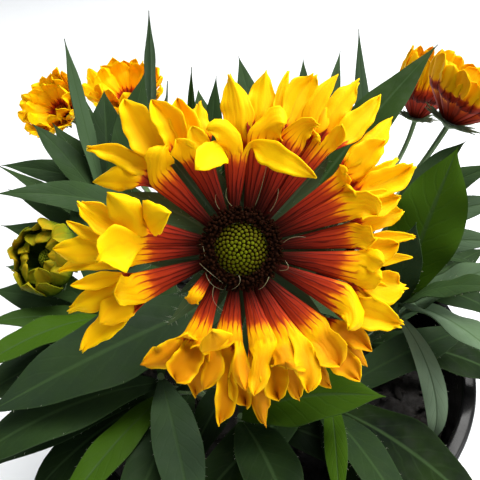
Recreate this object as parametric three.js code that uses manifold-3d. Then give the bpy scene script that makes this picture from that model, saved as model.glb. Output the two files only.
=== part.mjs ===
// A blanket flower plant (Gaillardia) in a round black nursery pot.
// Millimetres, +Z up, origin at the centre of the pot's underside. The main bloom faces -Y and up.
import * as THREE from "three";
import { mergeVertices } from "three/addons/utils/BufferGeometryUtils.js";
import Module from "manifold-3d";

const wasm = await Module();
wasm.setup();

// ---------------------------------------------------------------- driving dimensions

const RUNNING_GAP = 0.35; // air between two pieces that touch
const RIM_Z = 150; // height of the pot
const RIM_RADIUS = 84; // outside of the rolled rim
const BASE_RADIUS = 61; // outside of the underside
const POT_WALL = 1.6;
const POT_FLOOR = 2.4;
const LIP = { width: 3.6, height: 13 }; // the rolled rim: how far it stands proud, and how tall it is
const DRAIN = { count: 6, radius: 5, at: 46 };
const POT_SIDES = 28;

const SOIL_Z = RIM_Z - 22;
const SOIL_RELIEF = 1.6; // lumps of the potting mix
const HOLE_DEPTH = 14; // how far a stem goes down into the soil

const PETAL_THICK = 0.8;
const BLADE = 0.6; // thickness at a leaf's edge
const RIB = 1.0; // thickness along its middle
const LEAF_FOLD = 0.16; // how far a broad leaf's edges rise, as a share of its half width
const FLAT_BELOW = 13.5; // leaves narrower than this are flat

const GREEN = { leaf: 0x3c6232, stem: 0x58793c, bud: 0x9aa62c };
const PETAL = 0xf2b010;
const DISC = { ring: 0x2a0c0a, centre: 0x7d8f1c };

// ---------------------------------------------------------------- small helpers

const rad = THREE.MathUtils.degToRad;
const lerp = THREE.MathUtils.lerp;
const vec = (x, y, z) => new THREE.Vector3(x, y, z);

// The same small generator everywhere, so that every draw is seeded (mulberry32).
function randomFrom(seed) {
  let state = seed >>> 0;
  return () => {
    state = (state + 0x6d2b79f5) >>> 0;
    let x = state;
    x = Math.imul(x ^ (x >>> 15), x | 1);
    x ^= x + Math.imul(x ^ (x >>> 7), x | 61);
    return ((x ^ (x >>> 14)) >>> 0) / 4294967296;
  };
}

function solidOf(geometry) {
  const bare = geometry.clone();
  for (const name of ["normal", "uv"]) bare.deleteAttribute(name);
  const merged = mergeVertices(bare, 1e-4);
  return new wasm.Manifold(
    new wasm.Mesh({
      numProp: 3,
      vertProperties: merged.attributes.position.array,
      triVerts: new Uint32Array(merged.index.array),
    }),
  );
}

function geometryOf(solid) {
  const mesh = solid.getMesh();
  const geometry = new THREE.BufferGeometry();
  geometry.setAttribute("position", new THREE.BufferAttribute(mesh.vertProperties, 3));
  geometry.setIndex(new THREE.BufferAttribute(mesh.triVerts, 1));
  geometry.computeVertexNormals();
  return geometry;
}

const union = (solids) => solids.reduce((joined, solid) => joined.add(solid));

// Joins rings of points into a closed skin. Each ring has the same number of points. The last ring is closed
// flat, or to one tip, or, where it is a folded ring, to two tips side by side. The lower half of a ring is
// split into triangles like its upper half, so that a blade's two faces never cross.
const TWO_TIPS = [
  [0, 1, 4, 5],
  [1, 2, 3, 4],
];

function loft(rings, tips = []) {
  const sides = rings[0].length;
  const points = [...rings.flat(), ...tips];
  const faces = [];
  for (let k = 0; k + 1 < rings.length; k++) {
    for (let i = 0; i < sides; i++) {
      const a = k * sides + i;
      const b = k * sides + ((i + 1) % sides);
      const [c, d] = [a + sides, b + sides];
      if (i < sides / 2) faces.push([a, c, b], [b, c, d]);
      else faces.push([a, c, d], [a, d, b]);
    }
  }
  const last = (rings.length - 1) * sides;
  for (let m = 1; m + 1 < sides; m++) {
    const [a, b, c] = [1, (1 + m) % sides, (2 + m) % sides];
    faces.push([a, b, c]);
    if (!tips.length) faces.push([last + a, last + c, last + b]);
  }
  const loops = tips.length === 2 ? TWO_TIPS : tips.map(() => [...rings[0].keys()]);
  loops.forEach((loop, n) => {
    const tip = rings.length * sides + n;
    loop.forEach((i, m) => faces.push([last + i, tip, last + loop[(m + 1) % loop.length]]));
  });
  const geometry = new THREE.BufferGeometry().setFromPoints(points);
  const outward = signedVolume(points, faces) > 0;
  return geometry.setIndex(outward ? faces.flat() : faces.flatMap(([a, b, c]) => [a, c, b]));
}

function signedVolume(points, faces) {
  const area = vec(0, 0, 0);
  return faces.reduce(
    (sum, [a, b, c]) => sum + points[a].dot(area.crossVectors(points[b], points[c])),
    0,
  );
}

// One cross-section of a flat blade, such as a petal's lobe, a bract or a narrow leaf: its place, side
// (towards its right edge), normal (its upper face) and half width. `thick` is grown on all round.
function flatRing({ place, side, normal, half }, thick = 0) {
  const [wide, high] = [half + thick, PETAL_THICK / 2 + thick];
  const corner = (s, n) => place.clone().addScaledVector(side, s * wide).addScaledVector(normal, n * high);
  return [corner(-1, 1), corner(1, 1), corner(1, -1), corner(-1, -1)];
}

// One cross-section of a blade whose edges rise from its rib.
function foldedRing({ place, side, normal, half }, fold, thick = 0) {
  const at = (s, n) => place.clone().addScaledVector(side, s).addScaledVector(normal, n);
  const [edge, rib] = [BLADE / 2 + thick, RIB / 2 + thick];
  const wide = half + thick;
  const rise = fold * half;
  return [
    at(-wide, rise + edge),
    at(0, rib),
    at(wide, rise + edge),
    at(wide, rise - edge),
    at(0, -rib),
    at(-wide, rise - edge),
  ];
}

// A stem's line: points along a curve, with the direction and the radius at each of them.
function stemLine(curve, radii) {
  const steps = radii.length - 1;
  const points = radii.map((radius, k) => curve.getPoint(k / steps));
  const alongs = radii.map((radius, k) => curve.getTangent(k / steps));
  const at = (t) => {
    const k = Math.min(steps - 1, Math.floor(t * steps));
    return points[k].clone().lerp(points[k + 1], t * steps - k);
  };
  return { points, alongs, radii, at };
}

// A round bar along such a line.
function bar({ points, alongs, radii }, sides) {
  const rings = points.map((centre, k) => {
    const across = vec(alongs[k].z, 0, -alongs[k].x).normalize();
    const third = vec(0, 0, 0).crossVectors(alongs[k], across).normalize();
    return Array.from({ length: sides }, (_, i) => {
      const turn = (i / sides) * Math.PI * 2;
      return centre
        .clone()
        .addScaledVector(across, radii[k] * Math.cos(turn))
        .addScaledVector(third, radii[k] * Math.sin(turn));
    });
  });
  return loft(rings);
}

// ---------------------------------------------------------------- leaves

// A leaf leaves its root at an azimuth and an elevation, and bends down along one arc by `bend` over its
// length.
function leafArc({ root, azimuth, elevation, bend, length }) {
  const out = vec(Math.cos(azimuth), Math.sin(azimuth), 0);
  return {
    side: vec(-Math.sin(azimuth), Math.cos(azimuth), 0),
    at(t) {
      const e = elevation - bend * t;
      const run = (length / bend) * (Math.sin(elevation) - Math.sin(e));
      const rise = (length / bend) * (Math.cos(e) - Math.cos(elevation));
      return root.clone().addScaledVector(out, run).add(vec(0, 0, rise));
    },
    along(t) {
      const e = elevation - bend * t;
      return out.clone().multiplyScalar(Math.cos(e)).add(vec(0, 0, Math.sin(e)));
    },
  };
}

// The arc that carries a leaf from its root to a given tip.
function arcToTip({ root, tip, bend }) {
  const reach = tip.clone().sub(root);
  return {
    root,
    bend,
    azimuth: Math.atan2(reach.y, reach.x),
    elevation: Math.atan2(reach.z, Math.hypot(reach.x, reach.y)) + bend / 2,
    length: (reach.length() * (bend / 2)) / Math.sin(bend / 2),
  };
}

const LEAF_STEPS = [0, 0.36, 0.72]; // where the cross-sections are, before the tip
const LEAF_NARROW = 0.08; // width of the stalk end, as a share of the whole width

// Half width of a lance-shaped leaf that is broadest just past its middle.
function leafHalf(width, t) {
  const belly = Math.sin(Math.PI * Math.pow(t, 1.12)) ** 0.8;
  return (width / 2) * (LEAF_NARROW + (1 - LEAF_NARROW) * belly) * (1 - t ** 8);
}

function leafBlade(leaf, thick = 0, from = 0) {
  const arc = leafArc(leaf);
  const rings = LEAF_STEPS.map((step) => Math.max(step, from)).map((t) => {
    const along = arc.along(t);
    const side = arc.side.clone().applyAxisAngle(along, leaf.roll);
    const normal = vec(0, 0, 0).crossVectors(along, side);
    const section = { place: arc.at(t), side, normal, half: leafHalf(leaf.width, t) };
    return leaf.width < FLAT_BELOW ? flatRing(section, thick) : foldedRing(section, LEAF_FOLD, thick);
  });
  return loft(rings, [arc.at(1)]);
}

// ---------------------------------------------------------------- blooms

// Each ray of the main bloom is a tube that flares to a mouth and splits into lobes. Seen from the front,
// angles turn from the right, anticlockwise. A ray holds the angle of its tube's root, then the angle, reach
// and width of its mouth, then its lobes, each with its tip's angle and reach, its width, and how far the tip
// stands forward.
const MAIN_RAYS = [
  [143, [138, 27, 7], [[156, 43.5, 6, -3], [147, 47.5, 6, -1], [128, 48.5, 8.5, 0], [125, 31, 5, 5]]],
  [118, [116, 26, 8], [[121, 44.5, 7, 2], [113, 43, 7, -2], [106, 40, 5.5, -4]]],
  [104, [93, 24, 6.5], [[94, 45, 8, 1], [121, 22, 6, 10], [106, 31, 5, 6], [43, 24.5, 6, 12]]],
  [80, [79, 29, 8], [[82, 46.5, 7, -2], [75, 49, 3, -3], [70, 33, 8, 6]]],
  [65, [65, 29, 7], [[67, 49.5, 8, -3], [61, 51, 5, 2], [58, 36, 5, 5]]],
  [51, [51, 33, 8], [[55, 55, 7, -3], [48, 55, 7, -4], [59, 43, 4, 0]]],
  [33, [34, 30, 8], [[41, 54, 6, -4], [37, 47, 7, 1], [30, 49, 4, -4], [26, 50.5, 8, -2]]],
  [22, [22, 28, 7], [[18, 43, 7, -1], [14, 34.5, 6, 6]]],
  [5, [7, 28, 6.5], [[13, 44, 5.5, -2], [4, 45, 3.5, -1], [5, 33, 5, 5]]],
  [-12, [-9, 30, 8.5], [[-3, 45, 3, -4], [-13, 44, 8.5, 0], [2, 40, 7, 1]]],
  [-29, [-26, 28, 8], [[-18, 42.5, 4.5, -2], [-25, 45.5, 8, 1], [-37, 33, 5, 6]]],
  [-54, [-48, 27, 8], [[-38, 42.5, 6, 1], [-43, 45.5, 4.5, -3], [-48, 45, 7, 3], [-55, 38, 6, 0]]],
  [-65, [-64, 25, 8], [[-57, 42.5, 6, 0], [-65, 39, 6, 7], [-69, 42.5, 6, -5]]],
  [-83, [-77, 24, 7], [[-76, 40, 8, 1], [-82, 46.5, 6.5, -5], [-85, 36, 5, 6]]],
  [-101, [-98, 24, 7.5], [[-88, 42, 7, -3], [-99, 46, 8, 0], [-105, 36, 5.5, 3], [-111, 22, 6, 8]]],
  [-131, [-117, 25, 6.5], [[-131, 39.5, 7.5, 0], [-116, 37.5, 9, 3], [-107, 40.5, 6, -5]]],
  [-148, [-135, 16, 3.6], [[-133, 18.5, 3.4, 1]]],
  [
    -159,
    [-159, 28, 8],
    [[-147, 49.5, 6, -3], [-152, 41, 8, 2], [-160, 48.5, 7, -1], [-168, 45, 4, 0], [-161, 33, 7, 5]],
  ],
  [-179, [-179, 27, 7], [[-173, 48.5, 4, -2], [180, 49, 7, 0], [171, 46, 3.5, 1]]],
  [167, [170, 24, 7], [[164, 42.5, 7.5, 3], [157, 36, 6.5, 6], [152, 18.5, 7.5, 11], [-175, 35, 9, 8]]],
];

const BROAD_STEPS = [0, 0.42, 0.78]; // where a lobe's cross-sections are, before its tip
const NARROW_STEPS = [0, 0.55];

// The plate that all rays grow from, just under the disc. `scale` is a head's size against the main one.
const HEAD = { plate: 9.5, top: -0.5, depth: 1.6 };
const headMiddle = (scale) => HEAD.top * scale - HEAD.depth / 2;
const cupTop = (scale) => HEAD.top * scale - HEAD.depth - RUNNING_GAP;
const RAY_ROOT = { at: 0.88 * HEAD.plate, half: 0.85, deep: 0.5 };
const MOUTH_LIFT = 2.4; // how far a tube's mouth stands forward of its root
const MOUTH_DEPTH = 0.24; // half height of a mouth, as a share of its width
const TUBE_STEPS = [0, 0.32, 1]; // where a tube's cross-sections are
const TUBE_WIDENS = 1.2; // powers of the way along a tube, for its width and its height
const TUBE_DEEPENS = 0.8;

// A point in the plane of a head.
const polar = (angle, reach, height = 0) => vec(reach * Math.cos(angle), reach * Math.sin(angle), height);

// A ray's tube: a flattened trumpet from the head's rim to its mouth.
function rayTube({ angle, mouthAngle, reach, width, sides }) {
  const root = polar(angle, RAY_ROOT.at, headMiddle(1));
  const end = polar(mouthAngle, reach, headMiddle(1) + MOUTH_LIFT);
  const side = vec(-(end.y - root.y), end.x - root.x, 0).normalize();
  const rings = TUBE_STEPS.map((t) => {
    const half = lerp(RAY_ROOT.half, width / 2, t ** TUBE_WIDENS);
    const deep = lerp(RAY_ROOT.deep, width * MOUTH_DEPTH, t ** TUBE_DEEPENS);
    const centre = root.clone().lerp(end, t);
    return Array.from({ length: sides }, (_, i) => {
      const turn = ((i + 0.5) / sides) * Math.PI * 2;
      return centre
        .clone()
        .addScaledVector(side, half * Math.cos(turn))
        .add(vec(0, 0, deep * Math.sin(turn)));
    });
  });
  return loft(rings);
}

const LOBE = {
  narrow: 0.55, // half width at its root, as a share of the greatest
  swell: 0.95, // share of its length where it has narrowed again
  broad: 6, // lobes wider than this have one cross-section more
  sunk: 2.5, // how far its root stands inside the mouth
  spread: 0.25, // how far its root moves towards the side of its tip
  spreadMost: 0.28, // the most of that, as a share of the mouth's width
  height: 1, // height of its root, in the head's frame
  lean: 0.12, // how much higher that is for each mm that its tip stands forward
  leanMost: [-0.5, 0.9],
  inward: 9, // a lobe that reaches less than this past the mouth turns up and back
  arch: 1.2, // how far a lobe arches forward
  archForward: 0.25, // and how much more it does for each mm that its tip stands forward
  archOut: 4, // how far an inward lobe arches out before it turns
};

// A lobe grows out of the mouth, swells, and runs to a point. Its root is sunk in the tube.
function rayLobe({ from, tip, width, bow, steps }) {
  const reach = tip.clone().sub(from);
  const lateral = vec(-reach.y, reach.x, 0).normalize();
  const arc = new THREE.QuadraticBezierCurve3(from, from.clone().lerp(tip, 0.5).add(bow), tip);
  const rings = steps.map((t) => {
    const along = arc.getTangent(t);
    const side = lateral.clone().addScaledVector(along, -lateral.dot(along)).normalize();
    const normal = vec(0, 0, 0).crossVectors(along, side);
    const half = (width / 2) * lerp(LOBE.narrow, 1, Math.sin((Math.PI * t) / LOBE.swell));
    return flatRing({ place: arc.getPoint(t), side, normal, half });
  });
  return loft(rings, [tip]);
}

function headPlate(scale, sides) {
  const [radius, top] = [HEAD.plate * scale, HEAD.top * scale];
  const profile = [
    [0, top - HEAD.depth],
    [radius, top - HEAD.depth],
    [radius, top],
    [0, top],
  ];
  return turnedSolid(profile, sides);
}

// A lathe around +Z from [radius, height] pairs that start and end on the axis, or close on themselves.
function turnedSolid(profile, sides) {
  const lathe = new THREE.LatheGeometry(
    profile.map(([r, z]) => new THREE.Vector2(r, z)),
    sides,
  );
  lathe.rotateX(Math.PI / 2);
  return lathe;
}

function mainRays() {
  const pieces = [solidOf(headPlate(1, 20))];
  for (const [turn, [mouthTurn, reach, width], lobes] of MAIN_RAYS) {
    const mouth = { angle: rad(turn), mouthAngle: rad(mouthTurn), reach, width };
    pieces.push(solidOf(rayTube({ ...mouth, sides: 6 })));
    for (const [lobeTurn, far, lobeWidth, forward] of lobes) {
      const tip = polar(rad(lobeTurn), far, forward);
      const out = polar(mouth.mouthAngle, far < reach + LOBE.inward ? LOBE.archOut : 0);
      const bow = vec(0, 0, LOBE.arch + LOBE.archForward * Math.max(0, forward)).add(out);
      const steps = lobeWidth > LOBE.broad ? BROAD_STEPS : NARROW_STEPS;
      pieces.push(solidOf(rayLobe({ from: lobeRoot(mouth, tip), tip, width: lobeWidth, bow, steps })));
    }
  }
  return union(pieces);
}

// Where a lobe starts: inside the tube's mouth, towards the side that its tip lies on.
function lobeRoot({ mouthAngle, reach, width }, tip) {
  const side = polar(mouthAngle + Math.PI / 2, 1);
  const most = width * LOBE.spreadMost;
  const across = THREE.MathUtils.clamp(tip.dot(side) * LOBE.spread, -most, most);
  const height = LOBE.height + THREE.MathUtils.clamp(tip.z * LOBE.lean, ...LOBE.leanMost);
  return polar(mouthAngle, reach - LOBE.sunk, height).addScaledVector(side, across);
}

// The rays of a lesser bloom are half-open trumpets with two teeth each, held up in a cup. Each row is the
// reach, height and half width of a cross-section, as shares of the bloom's radius. The last is the teeth.
const OPEN_CUP = [[0.55, 0.18, 0.11], [0.8, 0.42, 0.17], [1, 0.55, 0.13]];
const DEEP_CUP = [[0.52, 0.22, 0.12], [0.8, 0.7, 0.17], [0.98, 1.05, 0.14]];
const TALL_CUP = [[0.58, 0.18, 0.12], [0.9, 1.1, 0.2], [0.8, 2.1, 0.14]];
const CLOSED_CUP = [[0.74, 0.16, 0.15], [0.97, 0.56, 0.2], [0.8, 0.92, 0.1]];
const CUP_RAYS = 10; // how many stand round each
const CUP_ROOT = 0.9; // half width of such a ray at the head's plate
const RAY_FOLD = 0.5; // how far a ray's edges rise, as a share of its half width
const RAY_VARIES = { turn: 0.2, size: 0.1, raise: 0.1, tooth: 0.12 }; // how much rays differ, as shares

function smallRays({ radius, scale, seed, shape }) {
  const random = randomFrom(seed);
  const pieces = [solidOf(headPlate(scale, 10))];
  for (let k = 0; k < CUP_RAYS; k++) {
    const angle = ((k + RAY_VARIES.turn * (random() - 0.5)) / CUP_RAYS) * Math.PI * 2;
    const size = radius * lerp(1 - RAY_VARIES.size, 1, random());
    const raise = radius * RAY_VARIES.raise * (random() - 0.5);
    const side = polar(angle + Math.PI / 2, 1);
    const root = { place: polar(angle, RAY_ROOT.at * scale, headMiddle(scale)), half: CUP_ROOT };
    const rows = shape.map(([reach, up, half]) => ({
      place: polar(angle, size * reach, radius * up + raise),
      half: radius * half,
    }));
    const sections = [root, ...rows];
    const rings = sections.slice(0, -1).map(({ place, half }, n) => {
      const along = sections[n + 1].place.clone().sub(place).normalize();
      const normal = vec(0, 0, 0).crossVectors(along, side);
      return foldedRing({ place, side, normal, half }, n ? RAY_FOLD : 0);
    });
    const end = sections.at(-1);
    const teeth = [-1, 1].map((sign) =>
      end.place
        .clone()
        .addScaledVector(side, sign * end.half)
        .setZ(end.place.z + radius * RAY_VARIES.tooth * random()),
    );
    pieces.push(solidOf(loft(rings, teeth)));
  }
  return union(pieces);
}

// The dark outer florets of the main bloom: a raised ring whose relief alternates from floret to floret.
function discRing() {
  const profile = [
    [6.9, -0.15],
    [9.1, -0.15],
    [9.9, 1.5],
    [9.7, 3.3],
    [8.6, 4.3],
    [7.3, 3.9],
    [6.9, -0.15],
  ];
  const relief = [0, 0, 0.35, 0.45, 0.5, 0.3, 0];
  return studded(turnedSolid(profile, 24), profile.length, relief);
}

// The green florets in the middle: a low dome in the ring.
function discCentre() {
  const profile = [
    [0, -0.15],
    [5.4, -0.15],
    [6.2, 1.4],
    [6.0, 3.2],
    [4.7, 4.6],
    [2.6, 5.5],
    [0, 5.8],
  ];
  const relief = [0, 0, 0.3, 0, 0.42, 0, 0];
  return studded(turnedSolid(profile, 20), profile.length, relief);
}

// The disc of a lesser bloom.
function smallDisc(scale) {
  const profile = [
    [0, -0.15],
    [8.9, -0.15],
    [9.6, 2],
    [7.6, 4.4],
    [4, 5.6],
    [0, 6],
  ].map(([r, z]) => [r * scale, z * scale]);
  const relief = [0, 0, 0.5, 0.6, 0.6, 0.2].map((x) => x * scale);
  return studded(turnedSolid(profile, 12), profile.length, relief);
}

// Moves every other vertex of a lathe out along its normal, so that each raised one is a floret.
function studded(lathe, rows, relief) {
  const { position, normal } = lathe.attributes;
  for (let i = 0; i < position.count; i++) {
    const row = i % rows;
    const column = Math.floor(i / rows) % (position.count / rows - 1);
    const high = row % 2 === 0 && column % 2 === 0 ? 1 : -0.3;
    const step = row === rows - 1 && relief[row] && !position.getX(i) ? 0 : relief[row] * high;
    position.setXYZ(
      i,
      position.getX(i) + normal.getX(i) * step,
      position.getY(i) + normal.getY(i) * step,
      position.getZ(i) + normal.getZ(i) * step,
    );
  }
  return lathe;
}

// The green cup under a head, with its pointed bracts spread under the rays.
const CUP = { depth: 6, neck: 5 }; // its height, and how far down its stem's end is

function involucre({ scale, bracts, reach, droop }) {
  const top = cupTop(scale);
  const profile = [
    [0, top - CUP.depth * scale],
    [2.2 * scale, top - CUP.depth * scale],
    [8.6 * scale, top - 1.4],
    [8.6 * scale, top],
    [0, top],
  ];
  const pieces = [solidOf(turnedSolid(profile, bracts))];
  for (let k = 0; k < bracts; k++) {
    const angle = ((k + 0.5) / bracts) * Math.PI * 2;
    const side = polar(angle + Math.PI / 2, 1);
    const place = (t) => polar(angle, lerp(6.4 * scale, reach, t), top - 0.75 - droop * t);
    const rings = [0, 0.55].map((t) => {
      return flatRing({ place: place(t), side, normal: vec(0, 0, 1), half: 1.6 * scale * (1 - 0.2 * t) });
    });
    pieces.push(solidOf(loft(rings, [place(1)])));
  }
  return union(pieces);
}

// ---------------------------------------------------------------- the plant's layout

// Every stem stands at `foot` in the soil. A bloom's stem ends square to its head, which faces along
// `facing`.
const BLOOMS = [
  {
    name: "main_bloom",
    foot: [-2, -6],
    head: [-10, -43, 230],
    facing: [0, -0.788, 0.616],
    radius: 46,
    scale: 1,
    main: true,
    seed: 5,
  },
  {
    name: "left_bloom",
    foot: [-24, 14],
    head: [-103, 106, 201],
    facing: [-0.3, -0.62, 0.72],
    radius: 18,
    scale: 0.43,
    shape: OPEN_CUP,
    seed: 11,
  },
  {
    name: "back_left_bloom",
    foot: [-13, 27],
    head: [-75, 141, 193],
    facing: [-0.05, -0.3, 0.95],
    radius: 23,
    scale: 0.54,
    shape: OPEN_CUP,
    seed: 22,
  },
  {
    name: "right_bloom",
    foot: [27, 13],
    head: [90, 81, 209],
    facing: [0.35, 0.05, 0.93],
    radius: 22,
    scale: 0.48,
    shape: DEEP_CUP,
    seed: 33,
  },
  {
    name: "back_right_bloom",
    foot: [15, 28],
    head: [92, 134, 187],
    facing: [0.12, 0.1, 0.98],
    radius: 16,
    scale: 0.42,
    shape: TALL_CUP,
    seed: 44,
  },
  {
    name: "opening_bud",
    foot: [-28, -3],
    head: [-86, 16.5, 175.8],
    facing: [-0.35, -0.62, 0.7],
    radius: 14,
    scale: 0.66,
    shape: CLOSED_CUP,
    seed: 55,
  },
];
const TIGHT_BUD = {
  name: "tight_bud",
  foot: [8, 9],
  head: [30, 62, 206],
  facing: [0.2, 0.3, 0.93],
  radius: 7,
  seed: 66,
};
const SHOOTS = [
  { name: "leafy_shoot_1", foot: [-24, -22], top: [-38, -34, 166], seed: 101 },
  { name: "leafy_shoot_2", foot: [-7, -30], top: [-10, -46, 160], seed: 118 },
  { name: "leafy_shoot_3", foot: [16, -26], top: [20, -40, 166], seed: 103 },
  { name: "leafy_shoot_4", foot: [31, -7], top: [47, -14, 182], seed: 102 },
  { name: "leafy_shoot_5", foot: [2, 38], top: [4, 62, 186], seed: 105 },
  { name: "leafy_shoot_6", foot: [-36, 28], top: [-70, 42, 186], seed: 106 },
  { name: "leafy_shoot_7", foot: [37, 33], top: [60, 50, 176], seed: 107 },
  { name: "leafy_shoot_8", foot: [-46, 8], top: [-66, 4, 158], seed: 106 },
  { name: "leafy_shoot_9", foot: [20, 52], top: [30, 84, 168], seed: 109 },
  { name: "leafy_shoot_10", foot: [-17, 50], top: [-25, 80, 170], seed: 110 },
];

// Leaves whose tips have a place of their own: [stem, where on it, tip, bend, width, roll].
const PLACED_LEAVES = [
  ["leafy_shoot_6", 0.96, [-83, 73, 248], -24, 9, 35],
  ["leafy_shoot_6", 0.9, [-73, 81, 226], 8, 18, 0],
  ["leafy_shoot_6", 0.7, [-86, 88, 221], 8, 12, 10],
  ["leafy_shoot_6", 0.5, [-99, 80, 207], 16, 20, 0],
  ["back_left_bloom", 0.78, [-56, 107, 250], -10, 9, 25],
  ["back_left_bloom", 0.6, [-46, 102, 219], 10, 18, 60],
  ["back_left_bloom", 0.42, [-29, 51, 244], 10, 6, 30],
  ["back_left_bloom", 0.3, [-25, 88, 227], 14, 12, 0],
  ["leafy_shoot_5", 0.9, [-11, 102, 231], 10, 14, 0],
  ["tight_bud", 0.6, [20, 103, 230], 14, 12, 0],
  ["tight_bud", 0.78, [36, 95, 236], 10, 8, 20],
  ["right_bloom", 0.5, [42, 90, 247], -8, 8, 5],
  ["main_bloom", 0.55, [62, 46, 254], 18, 18, 10],
  ["leafy_shoot_4", 0.98, [61, 5, 234], 22, 24, 14],
  ["leafy_shoot_7", 0.9, [97, 41, 207], 28, 13, 35],
  ["leafy_shoot_7", 0.7, [99, 25, 196], 34, 14, 35],
  ["leafy_shoot_7", 0.5, [96, 12, 188], 40, 13, 35],
  ["leafy_shoot_4", 0.9, [53, -15, 216], 10, 12, 30],
  ["leafy_shoot_4", 0.8, [80, -20, 206], 34, 17, -10],
  ["leafy_shoot_4", 0.99, [75, -47, 182], 60, 21, -24],
  ["leafy_shoot_4", 0.9, [57, -45, 141], 120, 8, 30],
  ["leafy_shoot_4", 0.45, [92, -30, 154], 60, 18, 0],
  ["leafy_shoot_7", 0.3, [108, 2, 150], 60, 18, 0],
  ["leafy_shoot_2", 0.97, [31, -59, 189], 44, 19, 12],
  ["leafy_shoot_3", 0.98, [17, -82, 168], 44, 7, 20],
  ["leafy_shoot_3", 0.6, [68, -76, 146], 56, 22, 0],
  ["leafy_shoot_3", 0.3, [38, -96, 132], 70, 17, 0],
  ["leafy_shoot_2", 0.9, [6, -88, 160], 48, 18, 0],
  ["leafy_shoot_2", 0.5, [-8, -98, 140], 60, 18, 0],
  ["leafy_shoot_1", 0.96, [-22, -86, 162], 46, 15, 0],
  ["leafy_shoot_1", 0.7, [-64, -87, 164], 36, 12, 0],
  ["leafy_shoot_1", 0.4, [-44, -100, 134], 66, 17, 0],
  ["main_bloom", 0.5, [-90, -55, 173], 16, 28, -8],
  ["leafy_shoot_1", 0.9, [-98, -66, 160], 52, 20, 0],
  ["leafy_shoot_8", 0.9, [-102, -38, 171], 44, 15, 0],
  ["leafy_shoot_8", 0.6, [-110, -10, 166], 44, 13, 0],
  ["leafy_shoot_8", 0.98, [-116, 14, 170], 44, 12, -25],
  ["left_bloom", 0.44, [-112, 62, 211], 30, 14, -40],
  ["left_bloom", 0.36, [-116, 50, 200], 36, 14, -40],
  ["leafy_shoot_6", 0.62, [-116, 63, 198], 20, 10, 10],
  ["leafy_shoot_6", 0.4, [-118, 62, 190], 34, 15, -35],
  ["leafy_shoot_6", 0.85, [-22, 62, 224], 10, 17, 50],
  ["leafy_shoot_10", 0.9, [4, 86, 214], 10, 14, 40],
  ["leafy_shoot_1", 0.8, [-96, -54, 141], 62, 16, -20],
  ["leafy_shoot_1", 0.62, [-82, -66, 138], 66, 16, -10],
  ["leafy_shoot_6", 0.3, [-124, 39, 170], 24, 17, -30],
  ["leafy_shoot_8", 0.75, [-117, 15, 160], 30, 16, -20],
  ["leafy_shoot_10", 0.8, [-56, 103, 211], 8, 14, 0],
];

// The other leaves of a stem climb it by rule: how many, between which shares of its length, and their size.
const SHOOT_LEAVES = { count: 4, first: 0.1, last: 0.95, long: 90, wide: 17 };
const STEM_LEAVES = { count: 3, first: 0.12, last: 0.55, long: 74, wide: 13 };
// From the lowest leaf to the highest: degrees, and shares of `long` and `wide`; then how much leaves differ.
const CLIMB = { elevation: [28, 62], bend: [66, 30], length: [1, 0.62], width: [1, 0.72] };
const SPREAD = { azimuth: 24, elevation: 14, bend: 16, roll: 30, length: [0.88, 1.1], width: [0.9, 1.1] };
const STEM_RADIUS = { bloom: 1.5, bud: 1.3, shoot: 1.7 };
const STEM_SIDES = 5;
const STEM_CLEAR = 3; // height above the soil where a stem starts to sweep
const STEM_PULL = 0.42; // how straight it leaves and arrives, as a share of the distance
const GOLDEN_TURN = rad(137.5);

// The line of a stem: straight out of its hole, then one sweep up to its end.
function stemCurve({ foot, end, arrive }) {
  const base = vec(foot[0], foot[1], SOIL_Z + STEM_CLEAR);
  const pull = base.distanceTo(end) * STEM_PULL;
  const rise = base.clone().add(vec(0, 0, pull));
  return new THREE.CubicBezierCurve3(base, rise, end.clone().addScaledVector(arrive, -pull), end);
}

function frameOf({ head, facing }) {
  const z = vec(...facing).normalize();
  const x = vec(1, 0, 0).addScaledVector(z, -z.x).normalize();
  const y = vec(0, 0, 0).crossVectors(z, x);
  return new THREE.Matrix4().makeBasis(x, y, z).setPosition(...head);
}

// ---------------------------------------------------------------- assembly

const plant = new THREE.Group();
const taken = new Map(); // node name to the solids that other nodes must stay clear of

function boxesMeet(a, b) {
  return [0, 1, 2].every((i) => a.min[i] <= b.max[i] && b.min[i] <= a.max[i]);
}

function claim(name, solid) {
  if (!taken.has(name)) taken.set(name, []);
  taken.get(name).push({ solid, box: solid.boundingBox() });
}

function meets(name, solid) {
  const box = solid.boundingBox();
  const near = (taken.get(name) ?? []).filter((other) => boxesMeet(box, other.box));
  return near.some((other) => solid.intersect(other.solid).volume() > 0);
}

function addMesh(name, geometry, color, roughness, place = null) {
  const mesh = new THREE.Mesh(geometry, new THREE.MeshStandardMaterial({ color, roughness, metalness: 0 }));
  mesh.name = name;
  if (place) place.decompose(mesh.position, mesh.quaternion, mesh.scale);
  plant.add(mesh);
}

// A leaf that would meet another node is turned or lifted a little, until it is clear.
const WAYS_ROUND = [
  [0, 0], [7, 0], [-7, 0], [0, 7], [0, -7], [13, 4], [-13, 4], [13, -6], [-13, -6],
  [20, 0], [-20, 0], [0, 14], [0, -14], [28, 6], [-28, 6], [36, 0], [-36, 0], [44, 10], [-44, 10],
  [60, 0], [-60, 0], [60, 14], [-60, 14],
];
const SHORTER = [1, 0.82, 0.66];
const CLEARANCE = 0.5; // grown on to a leaf on each side while its way is sought
const BRANCHING = 0.24; // share of a leaf near its root, where it may meet the leaves of its own stem

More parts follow.
